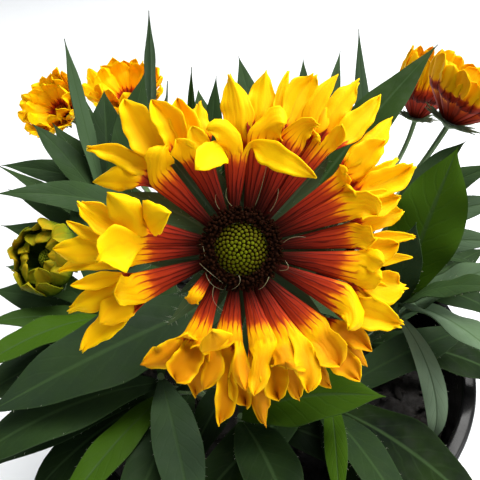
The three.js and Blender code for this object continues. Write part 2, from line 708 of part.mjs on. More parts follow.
function clearLeaf(stem, leaf) {
  for (const share of SHORTER) {
    for (const [turn, lift] of WAYS_ROUND) {
      const azimuth = leaf.azimuth + rad(turn);
      const elevation = leaf.elevation + rad(lift);
      const tried = { ...leaf, azimuth, elevation, length: leaf.length * share };
      const outer = solidOf(leafBlade(tried, CLEARANCE, BRANCHING));
      if (meets(`${stem.node} leaves`, outer)) continue;
      const whole = solidOf(leafBlade(tried, CLEARANCE));
      const others = [...taken.keys()].filter((name) => name !== stem.node && !name.endsWith(" leaves"));
      if (!others.some((name) => meets(name, whole))) return tried;
    }
  }
  return null;
}

// Leaves by rule climb the stem by the golden turn, the low ones long and spreading, the high ones short.
function ruledLeaves({ line, count, seed, first, last, long, wide }) {
  const random = randomFrom(seed);
  const start = random() * Math.PI * 2;
  return Array.from({ length: count }, (_, k) => {
    const t = k / (count - 1);
    const { elevation, bend, length, width } = CLIMB;
    return {
      root: line.at(lerp(first, last, t)),
      azimuth: start + k * GOLDEN_TURN + rad(SPREAD.azimuth * (random() - 0.5)),
      elevation: rad(lerp(...elevation, t) + SPREAD.elevation * (random() - 0.5)),
      bend: rad(lerp(...bend, t) + SPREAD.bend * (random() - 0.5)),
      length: long * lerp(...length, t) * lerp(...SPREAD.length, random()),
      width: wide * lerp(...width, t) * lerp(...SPREAD.width, random()),
      roll: rad(SPREAD.roll * (random() - 0.5)),
    };
  });
}

// ---- pot and soil

function pot() {
  const under = RIM_RADIUS - LIP.width; // outside of the wall just below the rim
  const wallIn = (r) => r - POT_WALL;
  const profile = [
    [0, 0],
    [BASE_RADIUS - 2, 0],
    [BASE_RADIUS, 2],
    [under - 1, RIM_Z - LIP.height - 4],
    [under, RIM_Z - LIP.height],
    [RIM_RADIUS - 0.8, RIM_Z - LIP.height],
    [RIM_RADIUS, RIM_Z - LIP.height + 1.5],
    [RIM_RADIUS, RIM_Z - 2],
    [RIM_RADIUS - 1.4, RIM_Z],
    [wallIn(under) + 0.6, RIM_Z],
    [wallIn(under), RIM_Z - 1.5],
    [wallIn(under), RIM_Z - LIP.height - 2],
    [wallIn(BASE_RADIUS), POT_FLOOR],
    [0, POT_FLOOR],
  ];
  const shell = solidOf(turnedSolid(profile, POT_SIDES));
  return Array.from({ length: DRAIN.count }, (_, k) => {
    const angle = (k / DRAIN.count) * Math.PI * 2;
    const hole = new THREE.CylinderGeometry(DRAIN.radius, DRAIN.radius, POT_FLOOR * 4, 6);
    hole.rotateX(Math.PI / 2).translate(DRAIN.at * Math.cos(angle), DRAIN.at * Math.sin(angle), 0);
    return solidOf(hole);
  }).reduce((cut, hole) => cut.subtract(hole), shell);
}

// Inner radius of the pot at a height below the rim.
function potInside(z) {
  const top = RIM_Z - LIP.height - 2;
  const under = RIM_RADIUS - LIP.width - POT_WALL;
  return lerp(BASE_RADIUS - POT_WALL, under, Math.min(1, (z - POT_FLOOR) / (top - POT_FLOOR)));
}

function soil(feet) {
  const random = randomFrom(7);
  const columns = 14;
  const low = POT_FLOOR + RUNNING_GAP;
  const topEdge = potInside(SOIL_Z) - RUNNING_GAP - 0.6;
  const shares = [1, 0.66, 0.33]; // of the top's radius, where its lumps are
  const ring = (radius, height) =>
    Array.from({ length: columns }, (_, i) => {
      const turn = (i / columns) * Math.PI * 2;
      return vec(radius * Math.cos(turn), radius * Math.sin(turn), height());
    });
  const rings = [
    ring(potInside(low) - RUNNING_GAP - 0.5, () => low),
    ...shares.map((share) => ring(topEdge * share, () => SOIL_Z + SOIL_RELIEF * (random() - 0.5))),
  ];
  const body = solidOf(loft(rings, [vec(0, 0, SOIL_Z)]));
  return feet.reduce((cut, { foot, radius }) => {
    const hole = new THREE.CylinderGeometry(radius + RUNNING_GAP, radius + RUNNING_GAP, HOLE_DEPTH * 2, 6);
    hole.rotateX(Math.PI / 2).translate(foot[0], foot[1], SOIL_Z);
    return cut.subtract(solidOf(hole));
  }, body);
}

// A stem's bar, with the length that stands in its hole.
function stemBar({ points, alongs, radii }) {
  const low = points[0].clone().setZ(SOIL_Z - HOLE_DEPTH + RUNNING_GAP);
  return bar(
    { points: [low, ...points], alongs: [alongs[0], ...alongs], radii: [radii[0], ...radii] },
    STEM_SIDES,
  );
}

// A bud still shut: a green egg of bracts on its stem.
function shutBud(radius) {
  const profile = [
    [0, -3],
    [0.55 * radius, -2],
    [0.95 * radius, 1],
    [0.85 * radius, 0.6 * radius],
    [0.45 * radius, 1.05 * radius],
    [0, 1.25 * radius],
  ];
  return studded(turnedSolid(profile, 10), profile.length, [0, 0, 0.5, 0.6, 0.4, 0]);
}

// ---- stems, heads and leaves

const stems = [
  ...BLOOMS.map((bloom) => ({ ...bloom, kind: "bloom", thick: STEM_RADIUS.bloom })),
  { ...TIGHT_BUD, kind: "bud", thick: STEM_RADIUS.bud },
  ...SHOOTS.map((shoot) => ({ ...shoot, kind: "shoot", thick: STEM_RADIUS.shoot })),
];

for (const stem of stems) {
  const shoot = stem.kind === "shoot";
  stem.node = stem.kind === "bloom" ? `${stem.name}_stem` : stem.name;
  stem.frame = shoot ? null : frameOf(stem);
  const arrive = shoot ? vec(0, 0, 1) : vec(...stem.facing).normalize();
  const neck = shoot ? 0 : stem.kind === "bud" ? 2 : CUP.neck * stem.scale - cupTop(stem.scale);
  const end = vec(...(shoot ? stem.top : stem.head)).addScaledVector(arrive, -neck);
  const taper = shoot ? [1, 0.95, 0.85, 0.7] : [1, 1, 0.95, 0.9, 0.9, 0.95];
  const radii = taper.map((share) => share * stem.thick);
  stem.line = stemLine(stemCurve({ foot: stem.foot, end, arrive }), radii);
  stem.pieces = [solidOf(stemBar(stem.line))];
}

const potSolid = pot();
const soilSolid = soil(stems.map(({ foot, thick }) => ({ foot, radius: thick })));
claim("pot", potSolid);
claim("soil", soilSolid);
addMesh("pot", geometryOf(potSolid), 0x101012, 0.3);
addMesh("soil", geometryOf(soilSolid), 0x2b1f17, 0.95);

// Heads come before leaves, which keep clear of them.
for (const stem of stems.filter((s) => s.kind === "bloom")) {
  const scale = stem.scale;
  const parts = stem.main
    ? [
        ["rays", geometryOf(mainRays()), PETAL],
        ["disc_ring", discRing(), DISC.ring],
        ["disc_centre", discCentre(), DISC.centre],
      ]
    : [
        ["rays", geometryOf(smallRays(stem)), PETAL],
        ["disc", smallDisc(scale), DISC.ring],
      ];
  for (const [part, geometry, color] of parts) {
    const name = `${stem.name}_${part}`;
    addMesh(name, geometry, color, 0.6, stem.frame);
    claim(name, solidOf(geometry.clone().applyMatrix4(stem.frame)));
  }
  const cup = stem.main
    ? involucre({ scale, bracts: 14, reach: 21.5, droop: 2.4 })
    : involucre({ scale, bracts: 7, reach: stem.radius * 0.5, droop: 1.5 });
  stem.pieces.push(solidOf(geometryOf(cup).applyMatrix4(stem.frame)));
}

for (const stem of stems.filter((s) => s.kind === "bud")) {
  stem.pieces.push(solidOf(shutBud(stem.radius).applyMatrix4(stem.frame)));
}
for (const stem of stems) stem.pieces.forEach((piece) => claim(stem.node, piece));

// The air in front of the main bloom, which no leaf crosses.
const OPEN_AIR = { name: "open air", wide: 50, deep: 130 };
const mainFrame = stems[0].frame;
claim(
  OPEN_AIR.name,
  solidOf(
    new THREE.ConeGeometry(OPEN_AIR.wide, OPEN_AIR.deep, 12)
      .rotateX(Math.PI / 2)
      .translate(0, 0, OPEN_AIR.deep / 2 + 1)
      .applyMatrix4(mainFrame),
  ),
);

function grow(stem, leaf) {
  const found = clearLeaf(stem, leaf);
  if (!found) return;
  const blade = solidOf(leafBlade(found));
  stem.pieces.push(blade);
  claim(stem.node, blade);
  claim(`${stem.node} leaves`, solidOf(leafBlade(found, 0, BRANCHING)));
}

for (const [name, where, tip, bend, width, roll] of PLACED_LEAVES) {
  const stem = stems.find((s) => s.name === name);
  const arc = arcToTip({ root: stem.line.at(where), tip: vec(...tip), bend: rad(bend) });
  grow(stem, { ...arc, width, roll: rad(roll) });
}
for (const stem of stems) {
  const rule = stem.kind === "shoot" ? SHOOT_LEAVES : STEM_LEAVES;
  ruledLeaves({ line: stem.line, seed: stem.seed, ...rule }).forEach((leaf) => grow(stem, leaf));
}

for (const stem of stems) {
  addMesh(stem.node, geometryOf(union(stem.pieces)), GREEN.leaf, 0.7);
}

export default plant;
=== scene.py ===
"""A blanket flower plant in its nursery pot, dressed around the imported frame.

Forms are worked out in millimetres in the CAD's frame and written in metres. The layout tables follow those
of the part's source, except that six of the main bloom's twenty rays differ a little.
"""
import math
from collections import namedtuple

import bmesh
import bpy
import numpy as np
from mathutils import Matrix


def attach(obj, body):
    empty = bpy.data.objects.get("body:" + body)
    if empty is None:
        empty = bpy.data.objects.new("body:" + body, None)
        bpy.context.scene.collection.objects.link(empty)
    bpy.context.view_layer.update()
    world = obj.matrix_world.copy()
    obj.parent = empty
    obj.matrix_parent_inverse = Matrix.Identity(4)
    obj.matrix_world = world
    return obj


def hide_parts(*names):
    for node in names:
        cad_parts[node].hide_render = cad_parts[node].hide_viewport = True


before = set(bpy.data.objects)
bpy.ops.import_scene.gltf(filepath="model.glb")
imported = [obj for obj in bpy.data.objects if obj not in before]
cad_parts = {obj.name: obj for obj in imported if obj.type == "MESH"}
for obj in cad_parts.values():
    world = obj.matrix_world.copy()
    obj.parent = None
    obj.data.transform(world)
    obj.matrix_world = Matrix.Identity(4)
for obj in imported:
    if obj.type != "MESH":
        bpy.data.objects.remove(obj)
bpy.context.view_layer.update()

MM = 0.001
TURN = 2 * math.pi
GOLDEN_TURN = math.radians(137.5)
scene = bpy.context.scene

# ---------------------------------------------------------------- the part's own dimensions, in mm

RUNNING_GAP = 0.35
RIM_Z = 150.0
RIM_RADIUS = 84.0
BASE_RADIUS = 61.0
POT_WALL = 1.6
POT_FLOOR = 2.4
LIP = {"width": 3.6, "height": 13.0}
DRAIN = {"count": 6, "radius": 5.0, "at": 46.0}
SOIL_Z = RIM_Z - 22
HOLE_DEPTH = 14.0
HEAD = {"plate": 9.5, "top": -0.5, "depth": 1.6}
CUP = {"depth": 6.0, "neck": 5.0}
LEAF_NARROW = 0.08

# A ray of the main bloom: the angle of its tube's root; the angle, reach and width of its mouth; the reach at
# which its red turns yellow; then its lobes, each with its tip's angle and reach, its width, and how far the
# tip stands forward.
MAIN_RAYS = [
    (143, (138, 27, 7), 27, [(156, 43.5, 6, -3), (147, 47.5, 6, -1), (128, 48.5, 8.5, 0), (126, 32, 6, 5)]),
    (118, (116, 26, 8), 27, [(121, 44.5, 7, 2), (113, 43, 7, -2), (106, 40, 5.5, -4)]),
    (104, (93, 24, 6.5), 24, [(94, 45, 8, 1), (121, 22, 6, 10), (106, 31, 5, 6), (43, 24.5, 6, 12)]),
    (80, (79, 29, 8), 27, [(82, 46.5, 7, -2), (75, 49, 3, -3), (70, 33, 8, 6)]),
    (65, (65, 29, 7), 31, [(67, 49.5, 8, -3), (61, 51, 5, 2), (58, 36, 5, 5)]),
    (51, (53, 33, 6.5), 32, [(55, 55, 7, -3), (48, 55, 7, -4), (59, 43, 4, 0)]),
    (33, (32, 30, 7), 28, [(41, 54, 6, -4), (37, 47, 7, 1), (30, 49, 4, -4), (26, 50.5, 8, -2)]),
    (22, (22, 28, 7), 27.5, [(18, 43, 7, -1), (14, 34.5, 6, 6)]),
    (5, (7, 28, 6.5), 28, [(13, 44, 5.5, -2), (4, 45, 3.5, -1), (5, 33, 5, 5)]),
    (-12, (-9, 30, 8.5), 27.5, [(-3, 45, 3, -4), (-13, 44, 8.5, 0), (2, 40, 7, 1)]),
    (-29, (-26, 28, 8), 27.5, [(-18, 42.5, 4.5, -2), (-25, 45.5, 8, 1), (-37, 33, 5, 6)]),
    (-54, (-48, 27, 8), 26,
     [(-38, 42.5, 6, 1), (-43, 45.5, 4.5, -3), (-48, 45, 7, 3), (-55, 38, 6, 0), (-50, 38, 8, 6)]),
    (-65, (-64, 25, 8), 22.5, [(-57, 42.5, 6, 0), (-65, 39, 6, 7), (-69, 31, 8, 8), (-69, 42.5, 6, -5)]),
    (-83, (-77, 24, 7), 20.5, [(-76, 40, 8, 1), (-82, 46.5, 6.5, -5), (-85, 36, 5, 6)]),
    (-101, (-98, 24, 7.5), 19.5,
     [(-88, 42, 7, -3), (-97, 46, 6, 0), (-105, 37, 6, 3), (-88, 35, 4.5, 6), (-110, 21, 8, 8)]),
    (-131, (-117, 25, 6.5), 21.5, [(-131, 39.5, 7.5, 0), (-116, 37.5, 9, 3), (-107, 40.5, 6, -5)]),
    (-148, (-135, 16, 3.6), 16, [(-133, 18.5, 3.4, 1)]),
    (-159, (-159, 28, 8), 25.5,
     [(-147, 49.5, 6, -3), (-152, 41, 8, 2), (-160, 48.5, 7, -1), (-168, 45, 4, 0), (-161, 33, 7, 5)]),
    (-179, (-179, 27, 7), 24, [(-173, 48.5, 4, -2), (180, 49, 7, 0), (171, 46, 3.5, 1)]),
    (167, (170, 24, 7), 25, [(164, 42.5, 7.5, 3), (157, 36, 6.5, 6), (152, 18.5, 7.5, 11), (-175, 35, 9, 8)]),
]

# The rays of a lesser bloom stand in a cup, whose sizes are shares of the bloom's radius. Its profile gives
# the reach, height and half width of three cross-sections. The tubes are `tube` wide and split at the share
# `split` of the way from the first to the second. A higher `point` makes the lobes blunter. Each lobe has its
# place across the ray, its tip's reach and height, its width, and whether it is an inner one.
OPEN_CUP = {
    "profile": ((0.55, 0.18, 0.11), (0.8, 0.42, 0.17), (1.0, 0.55, 0.13)),
    "split": 0.2, "tube": 0.46, "point": (2.2, 4.0), "neck": 0.75, "ruffle": 0.4,
    "lobes": ((-1.0, 0.98, 0.0, 0.44, False), (1.0, 1.02, 0.06, 0.42, False), (0.1, 0.62, 0.24, 0.42, True)),
}
GOBLET = {
    "split": 0.6, "tube": 0.5, "point": (5.0, 9.0), "neck": 0.85, "ruffle": 0.2,
    "lobes": ((-0.8, 0.98, 0.0, 0.44, False), (0.8, 1.0, 0.06, 0.44, False), (0.0, 0.84, 0.02, 0.42, True)),
}
DEEP_CUP = {"profile": ((0.52, 0.22, 0.12), (0.8, 0.7, 0.17), (0.98, 1.05, 0.14)), **GOBLET}
TALL_CUP = {"profile": ((0.58, 0.18, 0.12), (0.9, 1.1, 0.2), (0.8, 2.1, 0.14)), **GOBLET}
CLOSED_CUP = {
    "profile": ((0.74, 0.16, 0.15), (0.97, 0.56, 0.2), (0.8, 0.92, 0.1)),
    "split": 0.75, "tube": 0.66, "point": (3.0, 5.0), "neck": 0.85, "ruffle": 0.3,
    "lobes": ((0.0, 1.0, 0.04, 0.78, False), (0.3, 0.46, 0.04, 0.56, True)),
}

# `size` is against the main head. For a lesser bloom, `red` is where the red of its rays ends, as a share of
# their length, and `bracts` is how far its bracts reach, as a share of the radius, and how far they droop.
BLOOM_FIELDS = "name foot head facing radius size cup seed red bracts"
Bloom = namedtuple("Bloom", BLOOM_FIELDS, defaults=(None, (0.5, 1.5)))
BLOOMS = [
    Bloom("main_bloom", (-2, -6), (-10, -43, 230), (0, -0.788, 0.616), 46, 1, None, 5),
    Bloom("left_bloom", (-24, 14), (-103, 106, 201), (-0.3, -0.62, 0.72), 18, 0.43, OPEN_CUP, 11, 0.2),
    Bloom("back_left_bloom", (-13, 27), (-75, 141, 193), (-0.05, -0.3, 0.95), 23, 0.54, OPEN_CUP, 22, 0.18),
    Bloom("right_bloom", (27, 13), (90, 81, 209), (0.35, 0.05, 0.93), 22, 0.48, DEEP_CUP, 33, 0.56,
          (0.72, -2.5)),
    Bloom("back_right_bloom", (15, 28), (92, 134, 187), (0.12, 0.1, 0.98), 16, 0.42, TALL_CUP, 44, 0.56,
          (0.8, -2.0)),
    Bloom("opening_bud", (-28, -3), (-86, 16.5, 175.8), (-0.35, -0.62, 0.7), 14, 0.66, CLOSED_CUP, 55, 0.6,
          (1.12, -8.0)),
]
TIGHT_BUD = Bloom("tight_bud", (8, 9), (30, 62, 206), (0.2, 0.3, 0.93), 7, 7 / 46, None, 66)

# The foot, top and seed of each leafy shoot.
SHOOTS = [
    ((-24, -22), (-38, -34, 166), 101),
    ((-7, -30), (-10, -46, 160), 118),
    ((16, -26), (20, -40, 166), 103),
    ((31, -7), (47, -14, 182), 102),
    ((2, 38), (4, 62, 186), 105),
    ((-36, 28), (-70, 42, 186), 106),
    ((37, 33), (60, 50, 176), 107),
    ((-46, 8), (-66, 4, 158), 106),
    ((20, 52), (30, 84, 168), 109),
    ((-17, 50), (-25, 80, 170), 110),
]

# Each stem's placed leaves: where on the stem, tip, bend, width and roll; then how bright the leaf is, from
# -1 in painted deep shade to 1, which is partly its own tone and partly painted light and shade; and how grey
# it is, where 0 is green and 2 is pale.
PLACED_LEAVES = {
    "leafy_shoot_6": [
        (0.96, (-83, 73, 248), -24, 9, 35, 0.35, 0.8),
        (0.9, (-73, 81, 226), 8, 18, 0, 0.1, 0.2),
        (0.7, (-86, 88, 221), 8, 12, 10, 0.15, 0.3),
        (0.5, (-99, 80, 207), 16, 20, 0, 0.05, 0.1),
        (0.62, (-116, 63, 198), 20, 10, 10, 0.15, 0.2),
        (0.4, (-118, 62, 190), 34, 15, -35, 0.1, 0.2),
        (0.85, (-22, 62, 224), 10, 17, 50, 0.1, 0.2),
        (0.3, (-124, 39, 170), 24, 17, -30, 0.15, 0.3),
    ],
    "back_left_bloom": [
        (0.78, (-56, 107, 250), -10, 9, 25, 0.4, 0.8),
        (0.6, (-46, 102, 219), 10, 18, 60, 0.1, 0.3),
        (0.42, (-29, 51, 244), 10, 6, 30, 0.5, 0.1),
        (0.3, (-25, 88, 227), 14, 12, 0, 0.2, 0.3),
    ],
    "leafy_shoot_5": [
        (0.9, (-11, 102, 231), 10, 14, 0, 0.1, 0.3),
    ],
    "tight_bud": [
        (0.6, (20, 103, 230), 14, 12, 0, 0.1, 0.2),
        (0.78, (36, 95, 236), 10, 8, 20, 0.2, 0.6),
    ],
    "right_bloom": [
        (0.5, (42, 90, 247), -8, 8, 5, 0.2, 0.6),
    ],
    "main_bloom": [
        (0.55, (62, 46, 254), 18, 18, 10, 0.25, 0.0),
        (0.5, (-90, -55, 173), 16, 28, -8, -0.3, 0.2),
    ],
    "leafy_shoot_4": [
        (0.98, (61, 5, 234), 22, 24, 14, 0.95, 0.0),
        (0.9, (53, -15, 216), 10, 12, 30, 0.3, 0.5),
        (0.8, (80, -20, 206), 34, 17, -10, 0.35, 1.1),
        (0.99, (75, -47, 182), 60, 21, -24, 0.3, 1.15),
        (0.9, (57, -45, 141), 120, 8, 30, 0.6, 1.9),
        (0.45, (92, -30, 154), 60, 18, 0, -0.7, 0.0),
    ],
    "leafy_shoot_7": [
        (0.9, (97, 41, 207), 28, 13, 35, 0.2, 0.4),
        (0.7, (99, 25, 196), 34, 14, 35, 0.2, 1.1),
        (0.5, (96, 12, 188), 40, 13, 35, 0.2, 1.1),
        (0.3, (108, 2, 150), 60, 18, 0, -0.2, 0.1),
    ],
    "leafy_shoot_2": [
        (0.97, (31, -59, 189), 44, 19, 12, 0.85, 0.0),
        (0.9, (6, -88, 160), 48, 18, 0, -0.2, 0.05),
        (0.5, (-8, -98, 140), 60, 18, 0, -0.3, 0.05),
    ],
    "leafy_shoot_3": [
        (0.98, (17, -82, 168), 44, 7, 20, 1.0, 0.0),
        (0.6, (68, -76, 146), 56, 22, 0, -1.0, 0.0),
        (0.3, (38, -96, 132), 70, 17, 0, -0.2, 0.0),
    ],
    "leafy_shoot_1": [
        (0.96, (-22, -86, 162), 46, 15, 0, 0.05, 0.45),
        (0.7, (-64, -87, 164), 36, 12, 0, 0.9, 0.0),
        (0.4, (-44, -100, 134), 66, 17, 0, -0.4, 0.0),
        (0.9, (-98, -66, 160), 52, 20, 0, 0.0, 0.12),
        (0.8, (-96, -54, 141), 62, 16, -20, -0.3, 0.0),
        (0.62, (-82, -66, 138), 66, 16, -10, -0.3, 0.0),
    ],
    "leafy_shoot_8": [
        (0.9, (-102, -38, 171), 44, 15, 0, 0.8, 0.0),
        (0.6, (-110, -10, 166), 44, 13, 0, 0.5, 0.1),
        (0.98, (-116, 14, 170), 44, 12, -25, 0.4, 0.3),
        (0.75, (-117, 15, 160), 30, 16, -20, 0.15, 0.3),
    ],
    "left_bloom": [
        (0.44, (-112, 62, 211), 30, 14, -40, 0.1, 0.3),
        (0.36, (-116, 50, 200), 36, 14, -40, 0.1, 0.3),
    ],
    "leafy_shoot_10": [
        (0.9, (4, 86, 214), 10, 14, 40, 0.1, 0.2),
        (0.8, (-56, 103, 211), 8, 14, 0, 0.15, 0.3),
    ],
}
SHOOT_LEAVES = {"count": 4, "first": 0.1, "last": 0.95, "long": 90, "wide": 17}
STEM_LEAVES = {"count": 3, "first": 0.12, "last": 0.55, "long": 74, "wide": 13}
STEM_RADIUS = {"bloom": 1.5, "bud": 1.3, "shoot": 1.7}
# The ways in which a leaf may be turned and lifted, in degrees, and shortened to clear its neighbours.
WAYS_ROUND = [
    (0, 0), (7, 0), (-7, 0), (0, 7), (0, -7), (13, 4), (-13, 4), (13, -6), (-13, -6),
    (20, 0), (-20, 0), (0, 14), (0, -14), (28, 6), (-28, 6), (36, 0), (-36, 0), (44, 10), (-44, 10),
    (60, 0), (-60, 0), (60, 14), (-60, 14),
]
SHORTER = (1, 0.82, 0.66)

# ---------------------------------------------------------------- small helpers


def random_from(seed):
    """The part's own small generator (mulberry32), so that the same leaves are drawn."""
    state, mask = seed, 0xFFFFFFFF

    def draw():
        nonlocal state
        state = (state + 0x6D2B79F5) & mask
        x = state
        x = (x ^ (x >> 15)) * (x | 1) & mask
        x ^= (x + ((x ^ (x >> 7)) * (x | 61) & mask)) & mask
        return (x ^ (x >> 14)) / 4294967296

    return draw


def vec(*numbers):
    return np.array(numbers, float)


def unit(v):
    return v / np.linalg.norm(v, axis=-1, keepdims=True)


def lerp(a, b, t):
    return a + (b - a) * t


def smooth(t):
    t = np.clip(t, 0, 1)
    return t * t * (3 - 2 * t)


def polar(angle, reach, height=0.0):
    return vec(reach * math.cos(angle), reach * math.sin(angle), height)


def turned(v, axis, angle):
    """v turned about a unit axis; both may be rows of vectors."""
    cos, sin = math.cos(angle), math.sin(angle)
    return v * cos + np.cross(axis, v) * sin + axis * (np.sum(axis * v, -1, keepdims=True) * (1 - cos))


def bezier(points, t):
    """Points of a Bezier curve of any degree at the shares t."""
    t = np.atleast_1d(t)[:, None]
    rows = [np.asarray(p, float) for p in points]
    while len(rows) > 1:
        rows = [lerp(a, b, t) for a, b in zip(rows, rows[1:])]
    return rows[0]


def tangents(line):
    return unit(np.gradient(line, axis=0))


def round_turn(count):
    """The angles of points spaced evenly round a circle."""
    return np.arange(count) / count * TURN


def rings(line, a, b, turn, radii):
    """Rings of points round a line, each in the plane of the unit vectors a and b there."""
    ring = a[:, None] * np.cos(turn)[None, :, None] + b[:, None] * np.sin(turn)[None, :, None]
    return line[:, None] + ring * radii[..., None]


class Skin:
    """The points, faces and per-point values of one piece, gathered part by part."""

    def __init__(self):
        self.points, self.faces, self.slots, self.values, self.size = [], [], [], [], 0

    def add(self, points, faces, slot=0, **values):
        count = len(points)
        self.points.append(points)
        for block in faces:
            self.faces.extend((block + self.size).tolist())
            self.slots.extend([slot] * len(block))
        row = {"along": 0.0, "across": 0.0, "tone": 0.5, "kind": 0.0, **values}
        self.values.append({name: np.broadcast_to(np.ravel(v), count) for name, v in row.items()})
        self.size += count

    def grid(self, points, closed=False, caps=False, slot=0, **values):
        """A sheet of quads over rows and columns of points; its columns may close into a tube."""
        rows, columns = points.shape[:2]
        index = np.arange(rows * columns).reshape(rows, columns)
        nexts = np.roll(index, -1, axis=1)
        if not closed:
            index, nexts = index[:, :-1], nexts[:, :-1]
        quads = np.stack([index[:-1], nexts[:-1], nexts[1:], index[1:]], -1).reshape(-1, 4)
        faces = [quads]
        if caps:
            first = np.arange(columns)
            faces += [first[None, ::-1], (first + (rows - 1) * columns)[None]]
        full = {name: np.broadcast_to(v, (rows, columns)).ravel() for name, v in values.items()}
        self.add(points.reshape(-1, 3), faces, slot, **full)

    def capped(self, points, **values):
        """A closed tube with a face over each end."""
        self.grid(points, closed=True, caps=True, **values)

    def grow(self, feet, lean, shortest, longest, radius, rng):
        """Hairs: a three-sided spike from each foot, along its own lean."""
        tips = feet + unit(lean) * rng.uniform(shortest, longest, (len(feet), 1))
        along = unit(tips - feet)
        helper = np.where(np.abs(along[:, 2:]) < 0.9, vec(0, 0, 1), vec(1, 0, 0))
        a = unit(np.cross(along, helper))
        b = np.cross(along, a)
        ring = [feet + radius * (a * math.cos(t) + b * math.sin(t)) for t in (0, TURN / 3, TURN * 2 / 3)]
        points = np.stack([*ring, tips], 1).reshape(-1, 3)
        base = np.arange(len(feet))[:, None] * 4
        corners = ((0, 1, 3), (1, 2, 3), (2, 0, 3), (0, 2, 1))
        self.add(points, [base + np.array([corner]) for corner in corners])


def make_piece(name, skin, materials, nodes=(), weld=0.0, thick=0.0, sharp=50, place=None):
    """Turns a skin into a Blender object that rides on the root body and stands for the given nodes."""
    points = np.concatenate(skin.points)
    if place is not None:
        points = place(points)
    mesh = bpy.data.meshes.new(name)
    mesh.from_pydata((points * MM).tolist(), [], skin.faces)
    for key in ("along", "across", "tone", "kind"):
        layer = mesh.attributes.new(key, "FLOAT", "POINT")
        layer.data.foreach_set("value", np.concatenate([v[key] for v in skin.values]).astype(np.float32))
    mesh.polygons.foreach_set("material_index", skin.slots)
    for material in materials:
        mesh.materials.append(material)
    work = bmesh.new()
    work.from_mesh(mesh)
    if weld:
        bmesh.ops.remove_doubles(work, verts=work.verts, dist=weld * MM)
    bmesh.ops.recalc_face_normals(work, faces=work.faces)
    work.to_mesh(mesh)
    work.free()
    mesh.shade_smooth()
    mesh.set_sharp_from_angle(angle=math.radians(sharp))
    piece = bpy.data.objects.new(name, mesh)
    scene.collection.objects.link(piece)
    if thick:
        shell = piece.modifiers.new("thickness", "SOLIDIFY")
        shell.thickness = thick * MM
        shell.offset = 0
    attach(piece, "root")
    if nodes:
        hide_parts(*nodes)


# ---------------------------------------------------------------- materials


class Graph:
    """A material's nodes. An input may be a number, a colour or another node's output."""

    def __init__(self, name):
        self.material = bpy.data.materials.new(name)
        self.material.use_nodes = True
        self.tree = self.material.node_tree
        self.tree.nodes.clear()

    def node(self, kind, inputs, output=0, **settings):
        node = self.tree.nodes.new("ShaderNode" + kind)
        for key, value in settings.items():
            setattr(node, key, value)
        for key, value in inputs.items():
            socket = node.inputs[key]
            if isinstance(value, bpy.types.NodeSocket):
                self.tree.links.new(value, socket)
            else:
                socket.default_value = value
        return node.outputs[output] if len(node.outputs) else None

    def values(self, *names):
        """The piece's own values of these names, which each of its points has."""
        return [self.node("Attribute", {}, "Fac", attribute_name=name) for name in names]

    def math(self, operation, *inputs, clamp=False):
        return self.node("Math", dict(enumerate(inputs)), operation=operation, use_clamp=clamp)

    def times(self, a, b, clamp=False):
        return self.math("MULTIPLY", a, b, clamp=clamp)

    def fused(self, a, b, c):
        """a * b + c"""
        return self.math("MULTIPLY_ADD", a, b, c)

    def place(self, *xyz):
        return self.node("CombineXYZ", dict(enumerate(xyz)))

    def object_place(self):
        return self.node("TexCoord", {}, "Object")

    def noise(self, vector, scale, detail=2.0, rough=0.5):
        return self.node("TexNoise", {"Vector": vector, "Scale": scale, "Detail": detail, "Roughness": rough})

    def range(self, value, low, high, to_low=0.0, to_high=1.0):
        inputs = {"Value": value, "From Min": low, "From Max": high, "To Min": to_low, "To Max": to_high}
        return self.node("MapRange", inputs, interpolation_type="SMOOTHSTEP")

    def mix(self, share, a, b):
        colours = [c if isinstance(c, bpy.types.NodeSocket) else (*c, 1.0) for c in (a, b)]
        return self.node("Mix", {0: share, 6: colours[0], 7: colours[1]}, 2, data_type="RGBA")

    def ramp(self, share, stops):
        output = self.node("ValToRGB", {0: share})
        ramp = output.node.color_ramp
        for _ in stops[2:]:
            ramp.elements.new(0.5)
        for element, (at, colour) in zip(ramp.elements, stops):
            element.position = at
            element.color = (*colour, 1.0)
        return output

    def bump(self, height, distance, strength=1.0, over=None):
        inputs = {"Height": height, "Distance": distance * MM, "Strength": strength}
        if over is not None:
            inputs["Normal"] = over
        return self.node("Bump", inputs)

    def finish(self, **inputs):
        shader = self.node("BsdfPrincipled", {k.replace("_", " "): v for k, v in inputs.items()})
        self.node("OutputMaterial", {"Surface": shader})
        return self.material


# The first is the lobes' own blotched colour; the second, deeper one is painted shade in their hollows and on
# the bottom rays.
AMBER, PAINTED_SHADE_AMBER = (0.84, 0.33, 0.003), (0.62, 0.24, 0.002)


